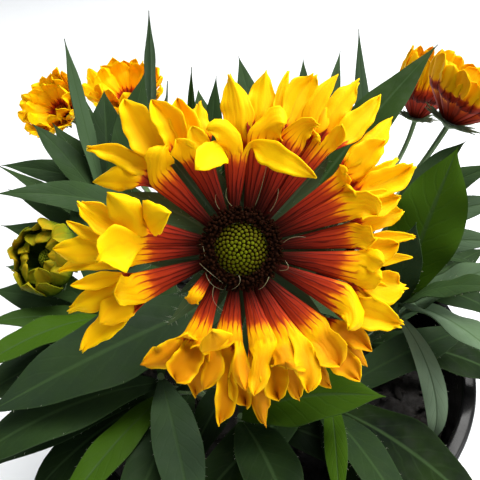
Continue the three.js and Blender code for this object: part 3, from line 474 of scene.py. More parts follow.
def petal_material(name, stops, nerves, glow):
    """A ray: its colour runs along it, and dark nerves carry the red further than the skin between them."""
    g = Graph(name)
    along, across, tone, kind = g.values("along", "across", "tone", "kind")
    seed = g.times(tone, 37.0)

    def over_ray(stretch, *noise, x=across):
        return g.noise(g.place(x, g.times(along, stretch), seed), *noise)

    bend = over_ray(1.4, 1.5, 2.0, x=g.times(across, 0.5))
    wave = g.math("COSINE", g.times(g.fused(bend, 1.1, across), TURN))
    nerve = g.range(wave, 0.6, 1.0)
    uneven = over_ray(0.6, 0.9, 2.0, 0.6)
    jag = over_ray(2.2, 2.6, 3.0, 0.65)
    shift = g.fused(uneven, 0.34, g.fused(jag, 0.16, -0.25))
    progress = g.math("ADD", along, g.fused(nerve, -0.13, shift))
    colour = g.ramp(g.times(progress, 0.5), stops)
    # dark nerves on the tube, which end at different reaches on the lobes
    ends = g.math("SUBTRACT", along, g.times(uneven, 0.7))
    dark = g.mix(g.range(along, 0.5, 1.2), *nerves)
    colour = g.mix(g.times(nerve, g.range(ends, 1.0, 0.45, 0.0, 0.64)), colour, dark)
    # AMBER on the lobes, in blotches and along the nerves; then painted shade, deeper still, in the hollows
    # and on the bottom rays that `kind` marks
    far = g.range(along, 1.1, 1.5)
    blotch = g.range(over_ray(3.0, 0.35, 2.0), 0.35, 0.75)
    colour = g.mix(g.times(g.fused(blotch, 0.24, g.times(nerve, 0.16)), far), colour, AMBER)
    colour = g.mix(g.times(kind, far, clamp=True), colour, PAINTED_SHADE_AMBER)
    normal = g.bump(g.math("ADD", g.times(wave, -0.22), g.times(jag, 0.5)), 0.12, 0.8)
    grain = g.noise(g.object_place(), 2600.0, 2.0)
    return g.finish(
        Base_Color=colour,
        Roughness=g.range(grain, 0.3, 0.7, 0.5, 0.64),
        Normal=g.bump(grain, 0.02, 0.5, normal),
        Subsurface_Weight=glow,
        Subsurface_Radius=(1.0, 0.5, 0.1),
        Subsurface_Scale=0.0008,
        Specular_IOR_Level=0.05,
    )


# DEEP_SHADE is painted shade: the colour of a leaf in deep shade.
DEEP_SHADE, PALE_BLOOM = (0.0022, 0.006, 0.002), (0.24, 0.33, 0.21)


def leaf_material(name, dark, bright, grey, rib):
    """A leaf: a light midrib, side veins that run forward, a soft bloom of fine hair, and blotches of tone.
    Its tone, partly its own and partly painted light and shade, runs from painted deep shade at -1 to bright
    at 1, and its kind from green at 0 over grey to pale."""
    g = Graph(name)
    along, across, tone, kind = g.values("along", "across", "tone", "kind")
    place = g.object_place()
    colour = g.mix(g.math("ADD", tone, 0.0, clamp=True), dark, bright)
    # a tone below 0 paints shade, towards DEEP_SHADE
    colour = g.mix(g.times(tone, -1.0, clamp=True), colour, DEEP_SHADE)
    colour = g.mix(g.times(kind, 0.8, clamp=True), colour, grey)
    colour = g.mix(g.math("SUBTRACT", kind, 1.0, clamp=True), colour, PALE_BLOOM)
    blotch = g.noise(place, 55.0, 3.0, 0.6)
    colour = g.mix(g.range(blotch, 0.3, 0.72, 0.0, 0.35), colour, g.mix(0.5, colour, bright))
    away = g.math("ABSOLUTE", across)
    midrib = g.range(away, 0.1, 0.02)
    slant = g.math("SUBTRACT", g.times(along, 62.0), g.times(away, 13.0))
    vein = g.range(g.math("SINE", g.fused(g.noise(place, 260.0, 2.0), 2.6, slant)), 0.72, 1.0)
    vein_share = g.times(vein, g.range(away, 0.98, 0.1, 0.02, 0.09))
    colour = g.mix(g.math("MAXIMUM", g.times(midrib, 0.6), vein_share), colour, rib)
    colour = g.mix(g.range(away, 0.93, 1.0, 0.0, 0.3), colour, rib)
    fuzz = g.noise(place, 1500.0, 3.0, 0.7)
    haze = g.times(g.range(fuzz, 0.55, 0.8, 0.0, 0.3), g.math("ADD", kind, 0.15, clamp=True))
    normal = g.bump(g.math("ADD", g.times(vein, -0.35), g.times(midrib, -0.8)), 0.2, 0.5)
    return g.finish(
        Base_Color=g.mix(haze, colour, grey),
        Roughness=g.range(g.noise(place, 300.0, 2.0), 0.3, 0.7, 0.5, 0.7),
        Normal=g.bump(fuzz, 0.04, 0.5, normal),
        Specular_IOR_Level=0.06,
    )


def stem_material():
    """A stem: lengthwise lines, blotches of green and a whitish down."""
    g = Graph("stem")
    place = g.object_place()
    along, across = g.values("along", "across")
    lines = g.noise(g.place(g.times(across, 6.0), along, 0.0), 3.0, 2.0)
    colour = g.ramp(g.noise(place, 90.0, 3.0), [(0.3, (0.04, 0.1, 0.02)), (0.7, (0.09, 0.17, 0.04))])
    colour = g.mix(g.range(lines, 0.4, 0.7, 0.0, 0.5), colour, (0.14, 0.22, 0.07))
    colour = g.mix(g.range(g.noise(place, 1800.0, 2.0), 0.5, 0.8, 0.0, 0.3), colour, (0.26, 0.32, 0.2))
    return g.finish(Base_Color=colour, Roughness=0.55, Normal=g.bump(lines, 0.2, 0.7), Sheen_Weight=0.25,
                    Sheen_Roughness=0.5)


def hair_material(name, low, high):
    g = Graph(name)
    colour = g.ramp(g.noise(g.object_place(), 200.0), [(0.3, low), (0.7, high)])
    return g.finish(Base_Color=colour, Roughness=0.45, Sheen_Weight=0.2)


def floret_material(name, low, high, tip, rough):
    """A disc floret: darker down its side, `tip` at its top; its tone moves it from `low` to `high`."""
    g = Graph(name)
    along, tone = g.values("along", "tone")
    spot = g.noise(g.object_place(), 900.0, 2.0)
    colour = g.mix(g.range(along, 0.45, 1.0), g.mix(tone, low, high), g.mix(tone, high, tip))
    colour = g.mix(g.range(spot, 0.35, 0.7, 0.0, 0.35), colour, low)
    return g.finish(Base_Color=colour, Roughness=rough, Normal=g.bump(spot, 0.08, 0.6),
                    Specular_IOR_Level=0.05, Subsurface_Weight=0.05, Subsurface_Scale=0.001)


def pot_material():
    """Glossy black moulded plastic, with faint turning marks, dust and scuffs."""
    g = Graph("pot_plastic")
    place = g.object_place()
    dust = g.noise(place, 24.0, 6.0, 0.65)
    speck = g.noise(place, 900.0, 2.0)
    colour = g.ramp(dust, [(0.35, (0.004, 0.004, 0.0045)), (0.75, (0.014, 0.013, 0.012))])
    colour = g.mix(g.range(speck, 0.68, 0.78, 0.0, 0.3), colour, (0.11, 0.1, 0.085))
    stretched = g.node("Mapping", {"Vector": place, "Scale": (1.0, 1.0, 14.0)})
    normal = g.bump(g.noise(stretched, 55.0, 3.0), 0.25, 0.25)
    return g.finish(Base_Color=colour, Roughness=g.range(dust, 0.35, 0.7, 0.2, 0.36),
                    Normal=g.bump(speck, 0.03, 0.3, normal), Specular_IOR_Level=0.2)


def soil_material():
    """Dark mix, darkened further with painted shade. Pieces of bark have a tone of 0.4 to 1, and grains of
    perlite a tone of 2.
    """
    g = Graph("potting_mix")
    place = g.object_place()
    tone = g.values("tone")[0]
    fibre = g.noise(place, 420.0, 5.0, 0.7)
    crumb = g.noise(place, 150.0, 5.0, 0.7)
    # the mix's own dark brown and its bark, darkened further as painted shade
    colour = g.ramp(crumb, [(0.3, (0.002, 0.0015, 0.001)), (0.75, (0.009, 0.006, 0.0035))])
    colour = g.mix(g.range(tone, 0.5, 1.0), colour, (0.015, 0.009, 0.005))
    colour = g.mix(g.range(tone, 1.5, 2.0), colour, (0.62, 0.6, 0.55))
    return g.finish(Base_Color=colour, Roughness=g.range(fibre, 0.3, 0.7, 0.7, 0.95),
                    Normal=g.bump(fibre, 0.6, 0.8))


def floor_material():
    g = Graph("pale_floor")
    spot = g.noise(g.object_place(), 40.0, 4.0)
    colour = g.mix(spot, (0.79, 0.81, 0.83), (0.83, 0.85, 0.87))
    return g.finish(Base_Color=colour, Roughness=0.6)


# Colours along a ray; at 0.5 its red has just turned yellow.
RAY_STOPS = [
    (0.0, (0.012, 0.002, 0.001)),
    (0.08, (0.035, 0.004, 0.002)),
    (0.17, (0.09, 0.007, 0.003)),
    (0.28, (0.21, 0.013, 0.005)),
    (0.42, (0.34, 0.027, 0.006)),
    (0.47, (0.5, 0.065, 0.005)),
    (0.51, (0.86, 0.27, 0.003)),
    (0.56, (0.95, 0.45, 0.001)),
    (0.7, (0.96, 0.52, 0.0005)),
    (1.0, (0.97, 0.58, 0.001)),
]
YOUNG_STOPS = [
    (0.0, (0.015, 0.03, 0.004)),
    (0.4, (0.04, 0.075, 0.006)),
    (0.6, (0.16, 0.2, 0.006)),
    (1.0, (0.34, 0.3, 0.006)),
]
PETAL = petal_material("petal", RAY_STOPS, ((0.022, 0.002, 0.001), (0.17, 0.012, 0.003)), 0.3)
YOUNG_PETAL = petal_material("young_petal", YOUNG_STOPS, ((0.012, 0.02, 0.003), (0.1, 0.12, 0.006)), 0.2)
LEAF = leaf_material("leaf", (0.0075, 0.019, 0.005), (0.036, 0.085, 0.003), (0.07, 0.115, 0.064),
                     (0.036, 0.07, 0.022))
BRACT = leaf_material("bract", (0.045, 0.08, 0.03), (0.09, 0.16, 0.04), (0.14, 0.19, 0.12),
                      (0.17, 0.23, 0.12))
STEM = stem_material()
HAIR = hair_material("hair", (0.28, 0.3, 0.2), (0.5, 0.52, 0.42))
THREAD = hair_material("thread", (0.12, 0.11, 0.035), (0.3, 0.27, 0.12))
OUTER_FLORET = floret_material("outer_floret", (0.011, 0.003, 0.001), (0.015, 0.004, 0.001),
                               (0.021, 0.006, 0.0015), 0.9)
# the bud's young florets: their own green, lightened as painted light for a centre that sits in shade
LIT_YOUNG_FLORET = floret_material("lit_young_floret", (0.05, 0.08, 0.004), (0.12, 0.17, 0.006),
                               (0.25, 0.3, 0.01), 0.7)
ORANGE_FLORET = floret_material("orange_floret", (0.1, 0.012, 0.002), (0.3, 0.05, 0.003),
                                (0.6, 0.18, 0.005), 0.8)
INNER_FLORET = floret_material("inner_floret", (0.032, 0.015, 0.001), (0.062, 0.055, 0.001),
                               (0.115, 0.14, 0.002), 0.8)

# ---------------------------------------------------------------- the camera, lights and floor

FOCAL_PX, FRAME_PX, SENSOR = 520.0, 480.0, 36.0
CAMERA_AT = (-10.3, -147.8, 314.8)
CAMERA_PITCH = 38.0  # below level
FLOOR_HALF, FLOOR_Z = 4000.0, -0.2
WORLD_COLOUR, WORLD_STRENGTH = (0.93, 0.96, 1.0, 1.0), 0.37

camera_data = bpy.data.cameras.new("camera")
camera_data.sensor_width = SENSOR
camera_data.lens = SENSOR * FOCAL_PX / FRAME_PX
camera_data.clip_start = 0.01
camera = bpy.data.objects.new("camera", camera_data)
camera.location = [x * MM for x in CAMERA_AT]
camera.rotation_euler = (math.radians(90 - CAMERA_PITCH), 0, 0)
scene.collection.objects.link(camera)
scene.camera = camera
scene.view_settings.view_transform = "Standard"

floor_skin = Skin()
span = np.linspace(-FLOOR_HALF, FLOOR_HALF, 3)
floor_skin.grid(np.stack([*np.meshgrid(span, span), np.full((3, 3), FLOOR_Z)], -1))
floor_mesh = bpy.data.meshes.new("floor")
floor_mesh.from_pydata((np.concatenate(floor_skin.points) * MM).tolist(), [], floor_skin.faces)
floor_mesh.materials.append(floor_material())
floor = bpy.data.objects.new("floor", floor_mesh)
scene.collection.objects.link(floor)


def area_light(name, place, target, size, power, colour=(1.0, 1.0, 1.0)):
    data = bpy.data.lights.new(name, "AREA")
    data.shape = "DISK"
    data.size = size
    data.energy = power
    data.color = colour
    light = bpy.data.objects.new(name, data)
    light.location = place
    direction = np.array(target) - np.array(place)
    pitch = math.atan2(math.hypot(direction[0], direction[1]), -direction[2])
    light.rotation_euler = (pitch, 0, math.atan2(-direction[0], direction[1]))
    scene.collection.objects.link(light)


area_light("key", (0.4, 0.42, 1.6), (0, 0, 0.2), 1.3, 46, (1.0, 0.985, 0.96))
area_light("fill", (1.1, -0.3, 0.9), (0, 0, 0.18), 1.0, 12)
area_light("back", (0.4, 1.3, 1.1), (0, 0, 0.15), 1.2, 2, (0.96, 0.98, 1.0))
world = bpy.data.worlds.new("studio")
world.use_nodes = True
background = world.node_tree.nodes["Background"]
background.inputs["Color"].default_value = WORLD_COLOUR
background.inputs["Strength"].default_value = WORLD_STRENGTH
scene.world = world

# ---------------------------------------------------------------- stems and heads

COLLAR = 3.0  # a stem stands straight up to this height above the soil
STEM_PULL = 0.42  # how straight it leaves and arrives, as a share of the distance
FLOWER_TAPER = (1, 1, 0.95, 0.9, 0.9, 0.95)
SHOOT_TAPER = (1, 0.95, 0.85, 0.7)


def head_middle(size):
    return HEAD["top"] * size - HEAD["depth"] / 2


def cup_top(size):
    return HEAD["top"] * size - HEAD["depth"] - RUNNING_GAP


class Stem:
    """A stem's curve from its hole to its end, with the polyline that carries its leaves in the solids."""

    def __init__(self, name, kind, foot, end, arrive, seed):
        self.name, self.kind, self.seed = name, kind, seed
        self.node = f"{name}_stem" if kind == "bloom" else name
        self.corners = np.array([v.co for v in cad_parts[self.node].data.vertices]) / MM
        base = vec(*foot, SOIL_Z + COLLAR)
        pull = np.linalg.norm(base - end) * STEM_PULL
        self.controls = [base, base + vec(0, 0, pull), end - arrive * pull, end]
        self.radii = np.array(SHOOT_TAPER if kind == "shoot" else FLOWER_TAPER) * STEM_RADIUS[kind]
        self.knots = bezier(self.controls, np.linspace(0, 1, len(self.radii)))
        self.leaves = []

    def at(self, t):
        """A point on the polyline."""
        x = t * (len(self.knots) - 1)
        k = min(len(self.knots) - 2, int(x))
        return lerp(self.knots[k], self.knots[k + 1], x - k)

    def smooth_at(self, t):
        return bezier(self.controls, t)[0]


class Head:
    """The place of a flower head: its own axes, with z the way that it faces."""

    def __init__(self, centre, facing):
        self.centre = vec(*centre)
        self.z = unit(vec(*facing))
        self.x = unit(vec(1, 0, 0) - self.z * self.z[0])
        self.y = np.cross(self.z, self.x)

    def world(self, points):
        return self.centre + points[..., :1] * self.x + points[..., 1:2] * self.y + points[..., 2:] * self.z

    def turn(self, directions):
        return directions[:, :1] * self.x + directions[:, 1:2] * self.y + directions[:, 2:] * self.z


stems, heads = {}, {}
for bloom in [*BLOOMS, TIGHT_BUD]:
    kind = "bud" if bloom is TIGHT_BUD else "bloom"
    neck = 2 if bloom is TIGHT_BUD else CUP["neck"] * bloom.size - cup_top(bloom.size)
    head = heads[bloom.name] = Head(bloom.head, bloom.facing)
    stems[bloom.name] = Stem(bloom.name, kind, bloom.foot, head.centre - head.z * neck, head.z, bloom.seed)
for number, (foot, top, seed) in enumerate(SHOOTS, 1):
    name = f"leafy_shoot_{number}"
    stems[name] = Stem(name, "shoot", foot, vec(*top), vec(0, 0, 1), seed)

# ---------------------------------------------------------------- leaves


def arc_line(leaf, t):
    """Points and directions of a leaf's middle line: one arc that bends down by `bend` over its length."""
    t = np.atleast_1d(t).astype(float)
    out = vec(math.cos(leaf["azimuth"]), math.sin(leaf["azimuth"]), 0)
    start, bend = leaf["elevation"], leaf["bend"]
    e = start - bend * t
    run = leaf["length"] / bend * (math.sin(start) - np.sin(e))
    rise = leaf["length"] / bend * (np.cos(e) - math.cos(start))
    line = leaf["root"] + out * run[:, None] + vec(0, 0, 1) * rise[:, None]
    along = out * np.cos(e)[:, None] + vec(0, 0, 1) * np.sin(e)[:, None]
    return line, along


def solid_way(leaf, corners):
    """The leaf as the solid has it: turned, lifted or shortened so that its tip is a corner of its node."""
    for share in SHORTER:
        for turn, lift in WAYS_ROUND:
            tried = {
                **leaf,
                "azimuth": leaf["azimuth"] + math.radians(turn),
                "elevation": leaf["elevation"] + math.radians(lift),
                "length": leaf["length"] * share,
            }
            tip = arc_line(tried, 1.0)[0][0]
            if np.min(np.linalg.norm(corners - tip, axis=1)) < 0.03:
                return tried
    return None


def placed_leaves():
    for name, rows in PLACED_LEAVES.items():
        stem = stems[name]
        for where, tip, bend, width, roll, bright, grey in rows:
            root, bend = stem.at(where), math.radians(bend)
            reach = vec(*tip) - root
            azimuth = math.atan2(reach[1], reach[0])
            elevation = math.atan2(reach[2], math.hypot(reach[0], reach[1])) + bend / 2
            length = np.linalg.norm(reach) * (bend / 2) / math.sin(bend / 2)
            yield stem, dict(root=root, where=where, azimuth=azimuth, elevation=elevation, bend=bend,
                             length=length, width=width, roll=math.radians(roll), bright=bright, grey=grey)


def ruled_leaves():
    """Leaves in the golden turn up each stem: the higher, the steeper, shorter and greyer; the lower, the
    more painted shade.
    """
    for stem in stems.values():
        rule = SHOOT_LEAVES if stem.kind == "shoot" else STEM_LEAVES
        draw = random_from(stem.seed)
        start = draw() * TURN
        for k in range(rule["count"]):
            t = k / (rule["count"] - 1)
            where = lerp(rule["first"], rule["last"], t)
            yield stem, dict(
                root=stem.at(where),
                where=where,
                azimuth=start + k * GOLDEN_TURN + math.radians(24 * (draw() - 0.5)),
                elevation=math.radians(lerp(28, 62, t) + 14 * (draw() - 0.5)),
                bend=math.radians(lerp(66, 30, t) + 16 * (draw() - 0.5)),
                length=rule["long"] * lerp(1, 0.62, t) * lerp(0.88, 1.1, draw()),
                width=rule["wide"] * lerp(1, 0.72, t) * lerp(0.9, 1.1, draw()),
                roll=math.radians(30 * (draw() - 0.5)),
                # painted shade: the lowest leaves' tone falls below 0, towards deep shade
                bright=min(0.3 * k - 0.6, 0.2),
                grey=0.1 + 0.07 * k,
            )


LEAF_COLUMNS = np.array([-1, -0.8, -0.5, -0.16, 0, 0.16, 0.5, 0.8, 1.0])
LEAF_ROWS = np.array([*np.linspace(0, 0.9, 22), 0.94, 0.97, 0.99, 1.0])
BROAD_LEAF = 13.5  # from this width on, a leaf is folded more
EDGE_HAIRS = 26

def leaf_half(width, t):
    """Half width of a lance-shaped leaf that is broadest just past its middle."""
    belly = np.sin(np.pi * t**1.12).clip(0) ** 0.8
    return width / 2 * (LEAF_NARROW + (1 - LEAF_NARROW) * belly) * (1 - t**8)


def blade(skin, line, side, normal, half, lift, thick, slot=0, columns=LEAF_COLUMNS, **values):
    """A closed thin blade round a middle line. `lift` and `thick` are given for each row and column."""
    flat = line[:, None] + side[:, None] * (half[:, None] * columns)[..., None]
    top = flat + normal[:, None] * (lift + thick / 2)[..., None]
    low = flat + normal[:, None] * (lift - thick / 2)[..., None]
    ring = np.concatenate([top, low[:, ::-1]], axis=1)
    across = np.broadcast_to(np.concatenate([columns, columns[::-1]]), ring.shape[:2])
    skin.capped(ring, slot=slot, across=across, **values)


def leaf_blade(skin, hairs, stem, leaf, rng):
    """One leaf, swayed, folded along its midrib and waved, with hairs along its edges."""
    t = LEAF_ROWS
    line, along = arc_line(leaf, t)
    line = line + (stem.smooth_at(leaf["where"]) - leaf["root"]) * ((1 - t) ** 3)[:, None]
    flat_side = vec(-math.sin(leaf["azimuth"]), math.cos(leaf["azimuth"]), 0)
    sway = 0.035 * np.sin(t * rng.uniform(2, 4) + rng.uniform(0, 6)) * rng.uniform(-1, 1)
    side = turned(np.broadcast_to(flat_side, along.shape), along, leaf["roll"])
    normal = np.cross(along, side)
    half = np.maximum(leaf_half(leaf["width"], t), 0.12)
    line = line + side * (sway * leaf["length"] * 0.25 * t * (1 - t))[:, None]
    u = LEAF_COLUMNS[None]
    far = np.abs(u)
    fold = 0.2 if leaf["width"] >= BROAD_LEAF else 0.12
    waves = rng.uniform(2.2, 3.6)
    phase = rng.uniform(0, 6.28, 2)
    ripple = np.sin(waves * TURN * t[:, None] + np.where(u < 0, phase[0], phase[1]))
    lift = half[:, None] * (fold * far**1.25 - 0.12 * far**3 + 0.1 * far**2 * ripple)
    lift = lift - 0.25 * np.exp(-((u / 0.12) ** 2)) * smooth((1 - t) * 6)[:, None]
    rib = np.exp(-((u / 0.14) ** 2)) * (1 - 0.75 * t[:, None])
    thick = np.minimum(0.34 + 0.9 * rib, half[:, None] * 2 + 0.2)
    blade(skin, line, side, normal, half, lift, thick,
          along=t[:, None], tone=leaf["bright"] + rng.uniform(-0.1, 0.1), kind=leaf["grey"])
    edge = rng.integers(2, len(t) - 4, EDGE_HAIRS)
    sign = rng.choice([-1.0, 1.0], EDGE_HAIRS)
    feet = line[edge] + side[edge] * (sign * half[edge])[:, None] + normal[edge] * lift[edge, 0][:, None]
    lean = side[edge] * sign[:, None] + along[edge] * 0.6
    lean = lean + normal[edge] * rng.uniform(-0.3, 0.5, (EDGE_HAIRS, 1))
    hairs.grow(feet, lean, 0.5, 0.9, 0.035, rng)


for stem, leaf in [*placed_leaves(), *ruled_leaves()]:
    found = solid_way(leaf, stem.corners)
    if found:
        stem.leaves.append(found)

# ---------------------------------------------------------------- stalks, cups and bracts


STALK_ROWS, STALK_COLUMNS = 34, 12


def stalk(skin, hairs, stem, rng, hairy):
    """A grooved stalk from the bottom of its hole to its end, with hairs all over."""
    t = np.linspace(0, 1, STALK_ROWS)
    line = bezier(stem.controls, t)
    along = tangents(line)
    radii = np.interp(t, np.linspace(0, 1, len(stem.radii)), stem.radii)
    low = line[0] - vec(0, 0, COLLAR + HOLE_DEPTH - RUNNING_GAP)
    t, line = np.concatenate([[0.0], t]), np.concatenate([[low], line])
    along, radii = np.concatenate([[vec(0, 0, 1)], along]), np.concatenate([radii[:1], radii])
    a = unit(np.stack([along[:, 2], np.zeros(len(t)), -along[:, 0]], -1))
    b = np.cross(along, a)
    turn = round_turn(STALK_COLUMNS)
    grooved = radii[:, None] * (1 + 0.05 * np.cos(turn * STALK_COLUMNS / 2))
    skin.capped(rings(line, a, b, turn, grooved), slot=1, along=t[:, None] * 10, across=turn[None] / 6.28)
    k = rng.integers(3, STALK_ROWS, hairy)
    angle = rng.uniform(0, TURN, hairy)[:, None]
    out = a[k] * np.cos(angle) + b[k] * np.sin(angle)
    slide = rng.uniform(-0.5, 0.5, (hairy, 1)) * np.linalg.norm(line[5] - line[4])
    feet = line[k] + along[k] * slide + out * radii[k][:, None]
    lean = out + along[k] * rng.uniform(-0.3, 0.6, (hairy, 1)) + rng.normal(0, 0.2, (hairy, 3))
    hairs.grow(feet, lean, 0.7, 1.5, 0.045, rng)


def leafy_stem(skin, hairs, stem, rng, hairy=500):
    stalk(skin, hairs, stem, rng, hairy)
    for leaf in stem.leaves:
        leaf_blade(skin, hairs, stem, leaf, rng)


BRACT_ROWS = np.array([0, 0.12, 0.28, 0.45, 0.62, 0.77, 0.89, 0.96, 1.0])
BRACT_COLUMNS = np.array([-1, -0.5, 0, 0.5, 1.0])


def bract(skin, hairs, head, points, width, rng, hairy, tone=0.3):
    """A pointed bract along a curve given in its head's own frame; its upper face looks along +z."""
    t, u = BRACT_ROWS, BRACT_COLUMNS[None]
    line = bezier(points, t)
    along = tangents(line)
    side = unit(np.cross(vec(0, 0, 1), along))
    normal = np.cross(along, side)
    half = np.maximum(width / 2 * (0.75 + 0.35 * np.sin(np.pi * t)) * (1 - t**2.2) ** 0.7, 0.06)
    lift = half[:, None] * (0.16 * np.abs(u) ** 1.3)
    world = head.world(line)
    side, normal, along = head.turn(side), head.turn(normal), head.turn(along)
    blade(skin, world, side, normal, half, lift, np.full(lift.shape, 0.32), slot=2, columns=BRACT_COLUMNS,
          along=t[:, None] * 0.5, tone=tone + rng.uniform(-0.2, 0.2), kind=0.3)
    k = rng.integers(1, len(t) - 1, hairy)
    u = rng.uniform(-1, 1, hairy)
    u = np.where(rng.uniform(size=hairy) < 0.6, np.sign(u), u)
    feet = world[k] + side[k] * (u * half[k])[:, None] + normal[k] * 0.16
    feet += along[k] * rng.uniform(-0.6, 0.6, (hairy, 1))
    lean = side[k] * (u + rng.normal(0, 0.4, hairy))[:, None] + along[k] * 0.5
    lean = lean + normal[k] * rng.uniform(0, 0.9, (hairy, 1))
    hairs.grow(feet, lean, 0.7, 1.9, 0.05, rng)


def lathe(profile, columns):
    """The rings of a profile of radii and heights turned round the z axis."""
    turn = round_turn(columns)
    r, z = np.array(profile, float).T
    return np.stack([r[:, None] * np.cos(turn), r[:, None] * np.sin(turn), z[:, None] + 0 * turn], -1)


# The rounds of bracts under a head: how far out they reach, how far down they start, their width, and the
# share of a step by which they are turned.
BRACT_ROUNDS = ((1.0, 0.75, 3.2, 0.5), (0.8, 1.7, 3.0, 0.0), (0.6, 2.8, 2.6, 0.5))
MAIN_BRACTS = {"count": 14, "reach": 21.5, "droop": 2.4}
SMALL_BRACTS = 9


def involucre(skin, hairs, head, size, rng, count, reach, droop):
    """The green cup under a head, with its rounds of bracts."""
    top, deep, main = cup_top(size), CUP["depth"] * size, size == 1
    profile = [(1.9 * size, top - deep), (3.6 * size, top - deep * 0.93), (5.8 * size, top - deep * 0.72),
               (7.6 * size, top - deep * 0.45), (8.5 * size, top - 1.2), (8.6 * size, top - 0.3),
               (8.2 * size, top - 0.05)]
    skin.capped(head.world(lathe(profile, 24)), slot=1, along=0.5)
    for row, (share, low, wide, turn) in enumerate(BRACT_ROUNDS):
        for k in range(count):
            angle = (k + turn) / count * TURN + rng.uniform(-0.05, 0.05)
            far = lerp(7.0 * size, reach, share * rng.uniform(0.92, 1.0))
            z = top - low * size
            points = [polar(angle, 6.0 * size, z), polar(angle, lerp(6 * size, far, 0.5), z - droop * 0.25),
                      polar(angle + rng.uniform(-0.05, 0.05), far, z - droop * rng.uniform(0.8, 1.1))]
            width = wide * (1 if main else 1.1) * rng.uniform(0.9, 1.1)
            bract(skin, hairs, head, points, width, rng, 26 if main else 8, 0.35 - 0.1 * row)


# Longer leafy bracts that show between the main bloom's rays: angle, reach and width.
LEAFY_BRACTS = [
    (-135, 28.5, 5.0), (152, 34.0, 10.0), (129, 36.0, 10.0), (111, 26.0, 6.5), (91, 26.0, 6.0),
    (43, 34.0, 9.5), (12, 26.0, 6.0), (-2, 25.0, 6.0), (-41, 29.0, 8.0), (-92, 24.0, 6.0),
    (-170, 27.0, 6.5), (66, 26.0, 5.0),
]


def leafy_bracts(skin, hairs, head, rng):
    for angle, reach, width in LEAFY_BRACTS:
        turn = math.radians(angle)
        low = cup_top(1) - 0.7
        points = [polar(turn, 6.0, low), polar(turn + rng.uniform(-0.08, 0.08), reach * 0.55, low + 0.4),
                  polar(turn + rng.uniform(-0.06, 0.06), reach, low - 1.6)]
        bract(skin, hairs, head, points, width, rng, 40)


# ---------------------------------------------------------------- trumpet rays

TUBE_ROWS = np.array([0, 0.07, 0.14, 0.22, 0.3, 0.38, 0.46, 0.54, 0.62, 0.7, 0.78, 0.85, 0.91, 0.96, 1.0])


def rim_parts(lobes, width):
    """Shares a tube's rim out among its lobes: those at the back take its lower half, the rest its upper."""
    back = [lobe for lobe in lobes if not lobe["front"]]
    front = [lobe for lobe in lobes if lobe["front"]][::-1]
    parts = []
    for group, at in ((back, math.pi), (front, TURN)):
        total = sum(lobe["width"] for lobe in group)
        for lobe in group:
            wide = math.pi * lobe["width"] / total
            count = max(8, round(3.4 * width * wide / math.pi))
            parts.append((lobe, at, wide, count))
            at += wide
    return parts


def lobe_sheet(lobe, edge, mouth, out, rng):
    """The sheet of one lobe, how far its rows are from the rim, and how much painted shade it takes at each
    point. It starts as its part of the rim, and turns into a cupped, creased blade."""
    count = len(edge)
    u = np.linspace(-1, 1, count) * (-1 if lobe["front"] else 1)
    middle = edge.mean(axis=0)
    reach = lobe["tip"] - middle
    length = np.linalg.norm(reach)
    control = lerp((middle + lobe["tip"]) / 2 + lobe["bow"], middle + out * length * 0.5, 0.4)
    s = np.linspace(0, 1, max(9, int(length / 0.95)) + 1) ** 0.9
    line = bezier([middle, control, lobe["tip"]], s)
    lateral = lobe.get("side", unit(vec(-reach[1], reach[0], 0.0)))
    line = line + lateral * (lobe["sway"] * length * np.sin(np.pi * s**1.3))[:, None]
    along = tangents(line)
    sides = unit(lateral - along * (along @ lateral)[:, None])
    normal = np.cross(along, sides)
    phase = rng.uniform(0, TURN, 6)
    swell = lobe["neck"] + (1.1 - lobe["neck"]) * np.sin(np.pi * s ** lobe["belly"])
    half = lobe["width"] / 2 * swell * (1 - s ** lobe["point"]) ** 0.6
    half = np.maximum(half, 0.08 + lobe["end"] * lobe["width"] / 2 * (s > 0.9))[:, None]
    nibbled = 0.1 * np.sin(s[:, None] * 9 + phase[0] + 2.2 * np.sign(u))
    nibbled = nibbled + 0.05 * np.sin(s[:, None] * 25 + phase[5] + 1.4 * np.sign(u))
    half = half * (1 + nibbled * smooth(s * 2)[:, None])
    grip = -1.0 if lobe["front"] else 1.0
    cup = grip * lobe["cup"] * half * (u**2 - 0.3)
    crease = lobe["crease"] * lobe["width"] * (np.abs(u - rng.uniform(-0.35, 0.35)) - 0.5)
    second = 0.4 * lobe["crease"] * lobe["width"] * (np.abs(u - rng.uniform(-0.9, 0.9)) - 0.5)
    wave = np.sin(s[:, None] * length * 0.62 + phase[1] + 1.5 * np.sign(u))
    wave = wave + 0.5 * np.sin(s[:, None] * length * 1.4 + phase[2] + 2.5 * np.sign(u))
    ruffle = lobe["ruffle"] * (np.abs(u) ** 1.8 * wave + 0.8 * s[:, None] ** 2 * np.sin(4.4 * u + phase[3]))
    ease = smooth(s * 2.6)[:, None]
    lift = cup + (crease + second) * ease * smooth((1.15 - s) * 3)[:, None] + ruffle * ease
    lift = lift + lobe["curl"] * smooth((s - 0.55) / 0.45)[:, None] ** 2
    tooth = lobe["end"] * lobe["width"] * (0.32 * np.cos(TURN * 1.3 * u + phase[4]) - 0.7 * u**2)
    ragged = tooth * smooth((s - 0.78) / 0.22)[:, None] ** 2
    section = line[:, None] + sides[:, None] * (half * u)[..., None] + normal[:, None] * lift[..., None]
    section = section + along[:, None] * ragged[..., None]
    flare = unit(edge - mouth) * 0.35 + out
    run = edge[None] + flare[None] * (s * length)[:, None, None]
    share = smooth(s / lobe["free"])[:, None, None]
    # the weight of painted shade: most in the lobe's middle and away from the rim
    shade_weight = (0.25 + 0.95 * (1 - u**2)) * smooth(s * 2.5)[:, None]
    return run * (1 - share) + section * share, s * length, shade_weight


